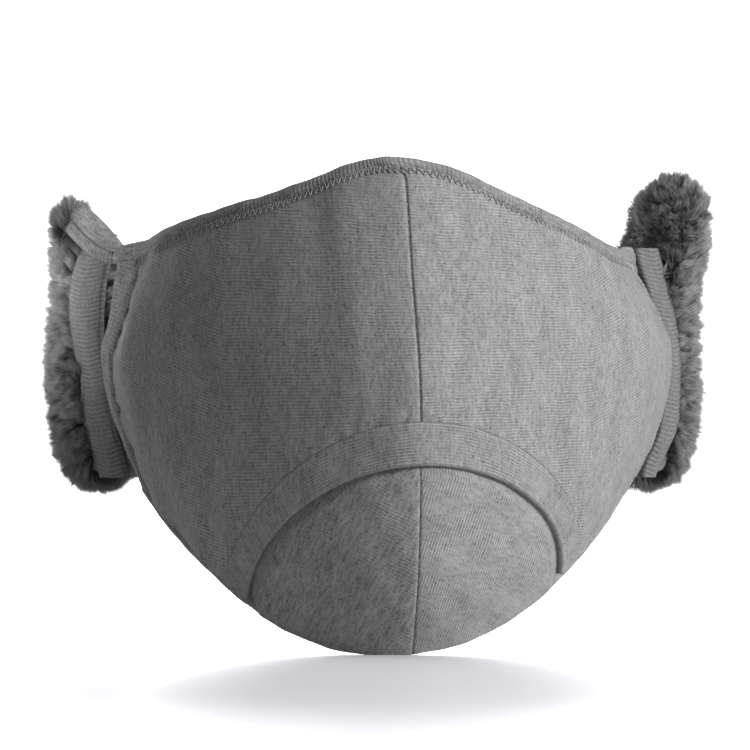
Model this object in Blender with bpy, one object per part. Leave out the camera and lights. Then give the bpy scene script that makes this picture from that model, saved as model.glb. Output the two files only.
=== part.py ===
"""Winter riding mask with plush ear muffs: a plain solid for each sewn piece.

Metres, +Z up. The front of the mask faces -Y and the wearer's left is +X.
The origin lies midway between the wearer's ears.
"""

import math

import bmesh
import bpy
from mathutils import Vector

MM = 0.001
SIDES = {"left": 1, "right": -1}

# The face: rows of the surface from the lower edge (v = 0) to the upper edge (v = 1).
# Each row: seam y, seam height, rear x, rear y, rear height, sweep of the rise (mm, mm above the chin).
FACE_ROWS = (
    (-94, 0, 72, -31, 48, 2.20),
    (-110, 22, 78, -28, 60, 2.00),
    (-117, 50, 83, -25.5, 74, 1.80),
    (-117, 82, 85, -23.5, 88, 1.60),
    (-107, 114, 81, -22.5, 104, 1.40),
    (-88, 145, 74.5, -21.5, 119, 1.25),
)
EAR_HEIGHT = 92 * MM             # from the lowest point of the chin to the middle of the ears
SIDE_STRAIGHT = 0.20             # share of straight line in the plan curve of a cheek
RIDGE_SHARE = 0.45               # how much of the depth the ridge along the seam takes
RIDGE_ROUND = 0.06               # roundness of that ridge, as a share of the cheek's length
NOSE_SHOULDER = 0.05             # dip of the upper edge beside the nose
CHEEK_RUN = 130 * MM             # rough length of a cheek for one step of u, at its rear
SEAM_RUN = 115 * MM              # the same, beside the middle seam

# Cloth thicknesses and the clear space between neighbours
GAP = 0.4 * MM
JERSEY = 1.6 * MM
LINING = 2.8 * MM
BAND = 2.6 * MM
CUP_CLOTH = 1.4 * MM
CUP_LINING = 1.8 * MM
EDGE_PROUD = 0.4 * MM            # how far bindings and hems stand proud of the jersey
EDGE_DEPTH = EDGE_PROUD + JERSEY + GAP + LINING + EDGE_PROUD

# Bindings, hems and seams
TOP_BINDING_WIDTH = 3.4 * MM
LOWER_HEM_WIDTH = 3.4 * MM
REAR_HEM_WIDTH = 8.5 * MM
SEAM_GROOVE = 0.7 * MM           # half width of the groove between the two cheeks
SEAM_HALF = 0.3 * MM
NOSE_SEAM_SUNK = 0.3 * MM
CHIN_SEAM_SUNK = 0.2 * MM
CHEEK_TOP_SHARE = 0.625          # share of a cheek's outer edge that runs along the top binding
CHEEK_GRID = (24, 8)
ARCH_GRID = (36, 2)
CUP_GRID = (10, 10)
CUP_LINING_GRID = (8, 8)
SEAM_GRID = (1, 16)
EDGE_GRID = (40, 1)
REAR_HEM_GRID = (2, 12)

# The arch: two ellipses in front view, half width and height above a common centre
ARCH_CENTRE = 20 * MM - EAR_HEIGHT
ARCH_OUTER = (53 * MM, 48 * MM)
ARCH_INNER = (46 * MM, 35 * MM)
CUP_EDGE = (49.5 * MM, 43 * MM)  # the cup's margin, tucked up behind the band
CUP_SET_BACK = BAND + GAP
CUP_SHOULDER = 0.35              # share of the arch over which the cup swells
CUP_LINING_EDGE = (47 * MM, 36 * MM)
CUP_LINING_GAP = 0.6 * MM
ARCH_FOOT_ANGLES = (-0.2, 0.9)   # between which angles an arch's foot lies
CUP_SWELL = 4.6 * MM             # how far the cup swells forward inside the arch

# The ear muffs, for the wearer's left. Each hangs behind its cheek on a line of two sewn ties.
HINGE = Vector((82, -20.5, -1)) * MM
LEAN = 0.12                      # how far the hinge line and the muff lean back for each unit of height
CUFF_FRONT = (-0.5 * MM, 2.0 * MM)     # from the hinge line: outward, back
CUFF_REAR = (6.5 * MM, 11.8 * MM)
CUFF_BOW = 2.3 * MM
CUFF_HALF = 34 * MM
CUFF_SPREAD = 3 * MM             # how much taller the cuff is where it meets the plush
CUFF_DROP = 3.5 * MM             # the cuff's middle lies this far below the muff's
CUFF_CLOTH = 2.4 * MM
CUFF_FACING = (0.8, -0.6)        # outward and forward share of the cuff's facing
CUFF_GRID = (2, 14)
MUFF_HEAD_SIDE = 73 * MM
MUFF_OUTSIDE = 96 * MM
MUFF_FRONT = -6 * MM
MUFF_REAR = 46 * MM
MUFF_HALF = 43 * MM
MUFF_FRONT_SLIM = 0.28           # how much thinner the muff is at the cuff
MUFF_SLIM_POWER = 2.5            # how suddenly it slims there
MUFF_FULLNESS = 3                # power of the superellipse of its section
MUFF_CORNER = 0.42               # roundness of the rear corners in side view
PLUSH = 7.5 * MM
PLUSH_GRID = (14, 14)
POCKET_LINING = 2.0 * MM
POCKET_GRID = (10, 10)
INNER_PLUSH = 4.0 * MM
INNER_PLUSH_INSET = 0.6 * MM
INNER_PLUSH_GRID = (8, 10)
POCKET_START = -0.55             # where the inner wall starts, behind the open mouth of the pocket
TIE_HALF_THICKNESS = 2.1 * MM
TIE_SEGMENTS, TIE_RINGS = 12, 8
TIES = {                         # each tie's two ends, measured from the hinge point
    "upper": (Vector((-5.0, -0.8, 30.5)) * MM, Vector((-0.5, 6.8, 35.5)) * MM),
    "lower": (Vector((-5.5, -6.5, -42.5)) * MM, Vector((0.0, 0.6, -43.5)) * MM),
}


def row_at(v):
    """The face row at v, by a smooth curve through FACE_ROWS."""
    place = min(max(v, 0.0), 1.0) * (len(FACE_ROWS) - 1)
    first = min(int(place), len(FACE_ROWS) - 2)
    t = place - first
    rows = [FACE_ROWS[min(max(first + k, 0), len(FACE_ROWS) - 1)] for k in (-1, 0, 1, 2)]
    mixed = []
    for a, b, c, d in zip(*rows):
        bend, twist = 2 * a - 5 * b + 4 * c - d, 3 * b - a - 3 * c + d
        mixed.append(0.5 * (2 * b + (c - a) * t + bend * t ** 2 + twist * t ** 3))
    return mixed


def across_at(u):
    """Share of the half width reached at u along the cheek."""
    return (1 - SIDE_STRAIGHT) * math.sin(u * math.pi / 2) + SIDE_STRAIGHT * u


def rise_at(across, sweep, v):
    """Share of the rise from the seam to the rear edge."""
    across = abs(across)
    return across ** sweep - NOSE_SHOULDER * math.sin(3 * math.pi * across) * (1 - across) * v ** 4


def face(u, v):
    """Point of the face surface; u runs from -1 (wearer's right) over the seam to 1."""
    seam_y, seam_z, rear_x, rear_y, rear_z, sweep = row_at(v)
    across = across_at(u)
    ridge = (math.hypot(u, RIDGE_ROUND) - RIDGE_ROUND) / (math.hypot(1, RIDGE_ROUND) - RIDGE_ROUND)
    back = (1 - RIDGE_SHARE) * (1 - math.cos(u * math.pi / 2)) + RIDGE_SHARE * ridge
    rise = rise_at(across, sweep, v)
    return Vector((
        rear_x * across * MM,
        (seam_y + (rear_y - seam_y) * back) * MM,
        (seam_z + (rear_z - seam_z) * rise) * MM - EAR_HEIGHT,
    ))


def slopes(u, v, step=1e-3):
    """Change of the face point with u and with v."""
    low, high = max(v - step, 0), min(v + step, 1)
    along = (face(u + step, v) - face(u - step, v)) / (2 * step)
    upward = (face(u, high) - face(u, low)) / (high - low)
    return along, upward


def cloth(u, v, lift):
    """Point at a height above the face surface, measured along its outward normal."""
    along, upward = slopes(u, v)
    return face(u, v) + along.cross(upward).normalized() * lift


def solve(test, low, high):
    """Where a rising function crosses zero, by halving."""
    for _ in range(40):
        middle = (low + high) / 2
        if test(middle) < 0:
            low = middle
        else:
            high = middle
    return (low + high) / 2


def face_place(x, z):
    """The (u, v) of the face surface behind a point of the front view; x is not negative."""
    def height_error(v):
        _, seam_z, rear_x, _, rear_z, sweep = row_at(v)
        across = min(x / (rear_x * MM), 1)
        return (seam_z + (rear_z - seam_z) * rise_at(across, sweep, v)) * MM - EAR_HEIGHT - z
    v = solve(height_error, 0, 1)
    share = min(x / (row_at(v)[2] * MM), 1)
    return solve(lambda u: across_at(u) - share, 0, 1), v


def hem_line(u, distance=LOWER_HEM_WIDTH):
    """v at a distance above the lower edge."""
    return distance / slopes(u, 0)[1].length


def top_line(u, distance=TOP_BINDING_WIDTH):
    """v at a distance below the upper edge."""
    return 1 - distance / slopes(u, 1)[1].length


def rear_line(v, distance=REAR_HEM_WIDTH):
    """u at a distance before the rear edge."""
    return 1 - distance / slopes(1, v)[0].length


def panel_to_face(p, w):
    """(u, v) of a place in the cloth between the edges: p from the seam to the rear hem, w upward."""
    v = w
    for _ in range(3):
        u = p * (rear_line(v) - GAP / CHEEK_RUN)
        low, high = hem_line(u, LOWER_HEM_WIDTH + GAP), top_line(u, TOP_BINDING_WIDTH + GAP)
        v = low + (high - low) * w
    return u, v


def face_to_panel(u, v):
    """The (p, w) of a place on the face; the reverse of panel_to_face."""
    low, high = hem_line(u, LOWER_HEM_WIDTH + GAP), top_line(u, TOP_BINDING_WIDTH + GAP)
    return u / (rear_line(v) - GAP / CHEEK_RUN), (v - low) / (high - low)


def arch_xz(angle, arch):
    """Point of an arch in front view, at an angle from its centre, 90 degrees at the top."""
    return arch[0] * math.cos(angle), ARCH_CENTRE + arch[1] * math.sin(angle)


def arch_foot(arch):
    """Angle where an arch comes down to the lower hem."""
    def above_hem(angle):
        u, v = face_place(*arch_xz(angle, arch))
        return v - hem_line(u, LOWER_HEM_WIDTH + GAP)
    return solve(above_hem, *ARCH_FOOT_ANGLES)


def arch_place(s, arch, foot):
    """(u, v) on an arch for s from -1 (right foot) over 0 (top) to 1 (left foot)."""
    angle = math.pi / 2 + (foot - math.pi / 2) * abs(s)
    u, v = face_place(*arch_xz(angle, arch))
    return math.copysign(u, s), v


def new_material(name, colour, roughness):
    """A plain cloth material."""
    material = bpy.data.materials.new(name)
    material.use_nodes = True
    shader = material.node_tree.nodes["Principled BSDF"]
    shader.inputs["Base Color"].default_value = (*colour, 1)
    shader.inputs["Roughness"].default_value = roughness
    shader.inputs["Metallic"].default_value = 0
    return material


def add_node(name, bm, collection, look, hinge=None):
    """Turn a bmesh into a named object of the mask, hung on a hinge's empty if it has one."""
    if hinge:
        bmesh.ops.translate(bm, verts=bm.verts, vec=-hinge.location)
    bm.normal_update()
    bmesh.ops.recalc_face_normals(bm, faces=bm.faces)
    mesh = bpy.data.meshes.new(name)
    bm.to_mesh(mesh)
    bm.free()
    mesh.shade_smooth()
    mesh.materials.append(new_material(f"{name}_cloth", *look))
    node = bpy.data.objects.new(name, mesh)
    node.parent = hinge
    collection.objects.link(node)


def laid_grid(chart, columns, rows):
    """A grid laid over chart(s, t), with s and t from 0 to 1."""
    bm = bmesh.new()
    bmesh.ops.create_grid(bm, x_segments=columns, y_segments=rows, size=0.5)
    for vert in bm.verts:
        vert.co = chart(vert.co.x + 0.5, vert.co.y + 0.5)
    return bm


def solid_between(front, back, columns, rows):
    """A closed solid between two charts of one grid: the layers are laid and their edges bridged."""
    bm = laid_grid(front, columns, rows)
    behind = laid_grid(back, columns, rows)
    layer = bpy.data.meshes.new("layer")
    behind.to_mesh(layer)
    behind.free()
    bm.from_mesh(layer)
    bpy.data.meshes.remove(layer)
    rim = [edge for edge in bm.edges if edge.is_boundary]
    bmesh.ops.bridge_loops(bm, edges=rim)
    return bm


def cloth_piece(name, place, lift, thickness, grid, look, collection):
    """A piece of cloth on the face: place(s, t) gives (u, v), lift(s, t) its outer height."""
    def front(s, t):
        return cloth(*place(s, t), lift(s, t))

    def back(s, t):
        return cloth(*place(s, t), lift(s, t) - thickness)
    add_node(name, solid_between(front, back, *grid), collection, look)


GREY_JERSEY = ((0.20, 0.20, 0.20), 0.95)
GREY_FLEECE = ((0.28, 0.28, 0.28), 1.0)
GREY_RIB = ((0.18, 0.18, 0.18), 0.95)
GREY_PLUSH = ((0.12, 0.12, 0.12), 1.0)
THREAD = ((0.05, 0.05, 0.05), 0.8)


def cheek_place(sign, seam_u, foot):
    """Chart of a cheek: s along the arch and the outer edges, t from the arch outwards."""
    def place(s, t):
        inner = face_to_panel(*arch_place(s, (ARCH_OUTER[0] + GAP, ARCH_OUTER[1] + GAP), foot))
        corner = CHEEK_TOP_SHARE
        outer = (s / corner, 1) if s < corner else (1, 1 - (s - corner) / (1 - corner))
        p = inner[0] + (outer[0] - inner[0]) * t
        w = inner[1] + (outer[1] - inner[1]) * t
        u, v = panel_to_face(p, max(w, 0))
        return sign * max(u, seam_u), v
    return place


def build_cheeks(collection):
    """The two jersey cheeks and their fleece linings."""
    foot = arch_foot((ARCH_OUTER[0] + GAP, ARCH_OUTER[1] + GAP))
    seam_u = SEAM_GROOVE / SEAM_RUN
    for side, sign in SIDES.items():
        place = cheek_place(sign, seam_u, foot)
        cloth_piece(f"cheek_outer_{side}", place, lambda s, t: 0.0, JERSEY, CHEEK_GRID,
                    GREY_JERSEY, collection)
        cloth_piece(f"cheek_lining_{side}", place, lambda s, t: -JERSEY - GAP, LINING, CHEEK_GRID,
                    GREY_FLEECE, collection)


def build_arch_band(collection):
    """The folded band round the breathing opening, foot to foot."""
    outer_foot, inner_foot = arch_foot(ARCH_OUTER), arch_foot(ARCH_INNER)

    def place(s, t):
        along = 2 * s - 1
        outer = arch_place(along, ARCH_OUTER, outer_foot)
        inner = arch_place(along, ARCH_INNER, inner_foot)
        return tuple(a + (b - a) * t for a, b in zip(inner, outer))
    cloth_piece("arch_band", place, lambda s, t: 0.0, BAND, ARCH_GRID, GREY_JERSEY, collection)


def cup_place(sign, arch, seam_u):
    """Chart of half a cup: a square drawn out to the quarter of an arch that stands on the hem."""
    foot_x = arch_xz(arch_foot(arch), arch)[0]

    def place(s, t):
        wide, tall = s * math.sqrt(1 - t * t / 2), t * math.sqrt(1 - s * s / 2)
        x = foot_x * wide
        reach = math.sqrt(max(1 - wide * wide, 1e-12))
        share = min(tall / reach, 1) if wide < 1 else 0
        top = ARCH_CENTRE + arch[1] * math.sqrt(max(1 - (x / arch[0]) ** 2, 0))
        u, top_v = face_place(x, top)
        hem_v = hem_line(u, LOWER_HEM_WIDTH + GAP)
        v = hem_v + (max(top_v, hem_v) - hem_v) * share
        across = x / (row_at(v)[2] * MM)
        u = solve(lambda guess: across_at(guess) - across, 0, 1)
        return sign * max(u, seam_u), v
    return place


def cup_lift(u, v):
    """Height of the cup's outer face: level behind the band, swelling forward inside the arch."""
    point = face(u, v)
    radius = math.hypot(point.x / ARCH_INNER[0], (point.z - ARCH_CENTRE) / ARCH_INNER[1])
    inside = min(max((1 - radius) / CUP_SHOULDER, 0), 1)
    return -CUP_SET_BACK + CUP_SWELL * inside * inside * (3 - 2 * inside)


def build_cup(collection):
    """The chin cup in two halves with their linings, and the seam between them."""
    seam_u = SEAM_GROOVE / SEAM_RUN
    for side, sign in SIDES.items():
        outer = cup_place(sign, CUP_EDGE, seam_u)
        inner = cup_place(sign, CUP_LINING_EDGE, seam_u)
        cloth_piece(f"chin_cup_{side}", outer, lambda s, t: cup_lift(*outer(s, t)), CUP_CLOTH,
                    CUP_GRID, GREY_JERSEY, collection)
        cloth_piece(f"chin_lining_{side}", inner,
                    lambda s, t: cup_lift(*inner(s, t)) - CUP_CLOTH - CUP_LINING_GAP, CUP_LINING,
                    CUP_LINING_GRID, GREY_FLEECE, collection)
    bottom, top = hem_line(0, LOWER_HEM_WIDTH + GAP), face_place(0, ARCH_CENTRE + CUP_EDGE[1])[1]
    half = SEAM_HALF / SEAM_RUN

    def place(s, t):
        return half * (2 * s - 1), bottom + (top - bottom) * t
    cloth_piece("chin_seam", place, lambda s, t: cup_lift(0, place(s, t)[1]) - CHIN_SEAM_SUNK, CUP_CLOTH,
                SEAM_GRID, THREAD, collection)


def build_centre_seam(collection):
    """The seam that joins the cheeks down the nose, standing in the groove between them."""
    bottom = face_place(0, ARCH_CENTRE + ARCH_OUTER[1] + GAP)[1]
    top = top_line(0, TOP_BINDING_WIDTH + GAP)
    half = SEAM_HALF / SEAM_RUN

    def place(s, t):
        return half * (2 * s - 1), bottom + (top - bottom) * t
    cloth_piece("centre_seam", place, lambda s, t: -NOSE_SEAM_SUNK, JERSEY + GAP + LINING, SEAM_GRID,
                THREAD, collection)


def build_edges(collection):
    """The top binding, the lower hem and the two ribbed rear hems."""
    def binding(s, t):
        u = 2 * s - 1
        low = top_line(u)
        return u, low + (1 - low) * t

    def hem(s, t):
        u = 2 * s - 1
        return u, hem_line(u) * t

    def proud(s, t):
        return EDGE_PROUD
    cloth_piece("top_binding", binding, proud, EDGE_DEPTH, EDGE_GRID, GREY_RIB, collection)
    cloth_piece("lower_hem", hem, proud, EDGE_DEPTH, EDGE_GRID, GREY_RIB, collection)
    for side, sign in SIDES.items():
        def rear(s, t):
            low, high = hem_line(1, LOWER_HEM_WIDTH + GAP), top_line(1, TOP_BINDING_WIDTH + GAP)
            v = low + (high - low) * t
            start = rear_line(v)
            return sign * (start + (1 - start) * s), v
        cloth_piece(f"rear_hem_{side}", rear, proud, EDGE_DEPTH, REAR_HEM_GRID, GREY_RIB, collection)


def leaned(point):
    """Lean a point of a muff back with the hinge line."""
    return Vector((point[0], point[1] + LEAN * (point[2] - HINGE.z), point[2]))


def muff_wall(s, t, inset):
    """Outside of a muff pulled in by inset: s from the cuff to the rear, t upward, both -1 to 1."""
    a, b = math.sin(s * math.pi / 2), math.sin(t * math.pi / 2)
    rear = max(a, 0)
    depth = (MUFF_REAR - MUFF_FRONT) / 2
    reach = depth - inset if a > 0 else depth
    y = (MUFF_REAR + MUFF_FRONT) / 2 + reach * a * math.sqrt(1 - MUFF_CORNER * b * b * rear)
    z = HINGE.z + (MUFF_HALF - inset) * b * math.sqrt(1 - MUFF_CORNER * rear * rear)
    round_off = (1 - rear ** MUFF_FULLNESS) ** (1 / MUFF_FULLNESS)
    along = round_off if a > 0 else 1 - MUFF_FRONT_SLIM * abs(a) ** MUFF_SLIM_POWER
    fullness = along * (1 - abs(b) ** MUFF_FULLNESS) ** (1 / MUFF_FULLNESS)
    rim = MUFF_HEAD_SIDE + INNER_PLUSH + GAP
    return leaned((rim + (MUFF_OUTSIDE - inset - rim) * fullness, y, z))


def muff_inside(s, t, x):
    """Flat inner wall of a muff at x, s from the pocket's mouth to the rear, t upward, both 0 to 1."""
    point = muff_wall(POCKET_START + (1 - POCKET_START) * s, 2 * t - 1, INNER_PLUSH_INSET)
    return Vector((x, point.y, point.z))


def cuff_face(s, t, depth):
    """Ribbed cuff at a depth behind its face: s from the slit to the plush, t upward, both 0 to 1."""
    height = 2 * t - 1
    out = CUFF_FRONT[0] + (CUFF_REAR[0] - CUFF_FRONT[0]) * s + CUFF_BOW * (1 - height * height)
    back = CUFF_FRONT[1] + (CUFF_REAR[1] - CUFF_FRONT[1]) * s
    z = HINGE.z - CUFF_DROP + (CUFF_HALF + CUFF_SPREAD * s) * height
    return leaned((HINGE.x + out - depth * CUFF_FACING[0], HINGE.y + back - depth * CUFF_FACING[1], z))


def tie_solid(start, finish):
    """A tie: a slim round form from start to finish."""
    bm = bmesh.new()
    bmesh.ops.create_uvsphere(bm, u_segments=TIE_SEGMENTS, v_segments=TIE_RINGS, radius=1)
    turn = (finish - start).to_track_quat("Z", "Y").to_matrix()
    size = Vector((TIE_HALF_THICKNESS, TIE_HALF_THICKNESS, (finish - start).length / 2))
    for vert in bm.verts:
        vert.co = (start + finish) / 2 + turn @ (vert.co * size)
    return bm


def build_muff(side, sign, collection):
    """One ear muff: ribbed cuff, plush outside, pocket lining, plush inside and two ties."""
    hinge = bpy.data.objects.new(f"ear_hinge_{side}", None)
    hinge.location = (sign * HINGE.x, HINGE.y, HINGE.z)
    collection.objects.link(hinge)

    def mirrored(point):
        return Vector((sign * point.x, point.y, point.z))

    def wall(inset):
        return lambda s, t: mirrored(muff_wall(2 * s - 1, 2 * t - 1, inset))

    def inside(x):
        return lambda s, t: mirrored(muff_inside(s, t, x))

    def cuff(depth):
        return lambda s, t: mirrored(cuff_face(s, t, depth))

    pocket = PLUSH + GAP
    solids = {
        "ear_cuff": (solid_between(cuff(0), cuff(CUFF_CLOTH), *CUFF_GRID), GREY_RIB),
        "ear_plush_outer": (solid_between(wall(0), wall(PLUSH), *PLUSH_GRID), GREY_PLUSH),
        "ear_pocket_lining": (
            solid_between(wall(pocket), wall(pocket + POCKET_LINING), *POCKET_GRID), GREY_FLEECE),
        "ear_plush_inner": (
            solid_between(inside(MUFF_HEAD_SIDE + INNER_PLUSH), inside(MUFF_HEAD_SIDE), *INNER_PLUSH_GRID),
            GREY_PLUSH),
    }
    for name, (solid, look) in solids.items():
        add_node(f"{name}_{side}", solid, collection, look, hinge)
    for end, (start, finish) in TIES.items():
        tie = tie_solid(mirrored(HINGE + start), mirrored(HINGE + finish))
        add_node(f"{end}_tie_{side}", tie, collection, GREY_RIB, hinge)


def main():
    """Build the whole mask."""
    for item in list(bpy.data.objects):
        bpy.data.objects.remove(item, do_unlink=True)
    collection = bpy.data.collections.new("riding_mask")
    bpy.context.scene.collection.children.link(collection)
    build_cheeks(collection)
    build_centre_seam(collection)
    build_arch_band(collection)
    build_cup(collection)
    build_edges(collection)
    for side, sign in SIDES.items():
        build_muff(side, sign, collection)


main()
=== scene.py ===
"""Looks of a winter riding mask with plush ear muffs, made round its fixed frame.

The front of the mask faces -Y, +Z is up and the wearer's left is +X. Lengths are in metres.
"""

import logging
import math
from dataclasses import dataclass
from enum import Enum
from typing import Callable

import bmesh
import bpy
import numpy as np
from mathutils import Matrix, Vector


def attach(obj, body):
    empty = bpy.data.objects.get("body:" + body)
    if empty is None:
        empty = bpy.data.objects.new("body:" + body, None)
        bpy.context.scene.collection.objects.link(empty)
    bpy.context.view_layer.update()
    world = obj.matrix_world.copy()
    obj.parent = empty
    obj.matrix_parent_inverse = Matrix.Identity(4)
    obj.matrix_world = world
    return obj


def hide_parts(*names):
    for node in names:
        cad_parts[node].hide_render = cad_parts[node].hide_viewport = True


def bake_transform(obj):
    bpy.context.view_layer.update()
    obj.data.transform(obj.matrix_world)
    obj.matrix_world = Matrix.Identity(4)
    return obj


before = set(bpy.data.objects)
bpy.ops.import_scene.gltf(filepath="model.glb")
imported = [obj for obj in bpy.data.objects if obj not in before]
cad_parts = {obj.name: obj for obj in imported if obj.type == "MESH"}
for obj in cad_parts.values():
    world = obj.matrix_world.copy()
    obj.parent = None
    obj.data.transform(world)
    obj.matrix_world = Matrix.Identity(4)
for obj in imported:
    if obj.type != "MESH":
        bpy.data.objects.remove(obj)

MM = 0.001
SEED = 11
HALF_GIRTH = 125 * MM  # about what the cloth runs from the middle seam to its rear edge
log = logging.getLogger("riding_mask")


class Side(Enum):
    """The wearer's two sides, with the sign of X on each."""

    LEFT = 1
    RIGHT = -1

    @property
    def word(self) -> str:
        """The side's name as it stands in the frame's node names."""
        return self.name.lower()


# ---------------------------------------------------------------- soft curves

def through(table: np.ndarray, share: np.ndarray) -> np.ndarray:
    """A smooth curve through evenly spaced rows of numbers.

    Args:
        table: The rows, or single numbers.
        share: Place along the rows, from 0 at the first to 1 at the last.

    Returns:
        The mixed rows, one for each place.
    """
    table = np.asarray(table, float)
    last = len(table) - 1
    place = np.clip(share, 0, 1) * last
    first = np.minimum(place.astype(int), last - 1)
    t = place - first
    t = t[..., None] if table.ndim > 1 else t
    a, b, c, d = (table[np.clip(first + k, 0, last)] for k in (-1, 0, 1, 2))
    return 0.5 * (2 * b + (c - a) * t + (2 * a - 5 * b + 4 * c - d) * t**2 + (3 * b - a - 3 * c + d) * t**3)


def swell(distance: np.ndarray, reach: float) -> np.ndarray:
    """A soft step from 0 at the edge to 1 beyond reach."""
    t = np.clip(distance / reach, 0, 1)
    return t * t * (3 - 2 * t)


def bell(value: np.ndarray, centre: float, width: float) -> np.ndarray:
    """A soft bump of height 1 round a centre."""
    return np.exp(-(((value - centre) / width) ** 2))


def roll(distance: np.ndarray, radius: float, depth: float) -> np.ndarray:
    """How far a rolled edge drops at a distance from the edge."""
    return depth * (1 - np.sqrt(1 - np.clip(1 - distance / radius, 0, 1) ** 2))


def unit(vectors: np.ndarray) -> np.ndarray:
    """The same directions, each of length 1."""
    return vectors / np.linalg.norm(vectors, axis=-1, keepdims=True)


def run_along(points: np.ndarray) -> np.ndarray:
    """Distance walked to each point of a row of points."""
    return np.concatenate([[0], np.cumsum(np.linalg.norm(np.diff(points, axis=0), axis=-1))])


def paired(first: np.ndarray, second: np.ndarray) -> np.ndarray:
    """Two arrays side by side, such as the two axes of a knit map."""
    return np.stack(np.broadcast_arrays(first, second), -1)


# ---------------------------------------------------------------- the surface of the face

@dataclass(frozen=True)
class Settling:
    """How the worn mask has settled out of its true shape: softly to the wearer's right at the top.

    All are lengths but skew, which is the drop for each square metre beside and above the middle.
    """

    flare: float = 4.4 * MM
    tuck: float = 3.0 * MM
    turned: float = 3.8 * MM
    drawn: float = 1.6 * MM
    hook: float = 3.0 * MM
    skew: float = 1.1

    def apply(self, points: np.ndarray) -> np.ndarray:
        """Move points of the mask by the settling."""
        x, y, z = points[..., 0], points[..., 1], points[..., 2]
        up = swell(z + 20 * MM, 45 * MM)
        rear = swell(y + 33 * MM, 12 * MM)
        right = swell(-x, 30 * MM)
        shift = right * self.tuck * bell(y, -33 * MM, 7 * MM) * bell(z, 10 * MM, 17 * MM)
        shift = shift - right * self.flare * rear * swell(z - 4 * MM, 24 * MM)
        shift = shift - self.turned * swell(z + 5 * MM, 32 * MM) * swell(x - 30 * MM, 40 * MM)
        shift = shift - self.drawn * up * (1 - swell(np.abs(x), 45 * MM))
        shift = shift - self.hook * swell(z - 46 * MM, 6 * MM) * bell(x, 0, 8 * MM)
        drop = -self.skew * x * z * (1 - swell(np.abs(x) - 66 * MM, 14 * MM))
        return points + np.stack([shift, 0 * y, drop], -1)


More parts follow.
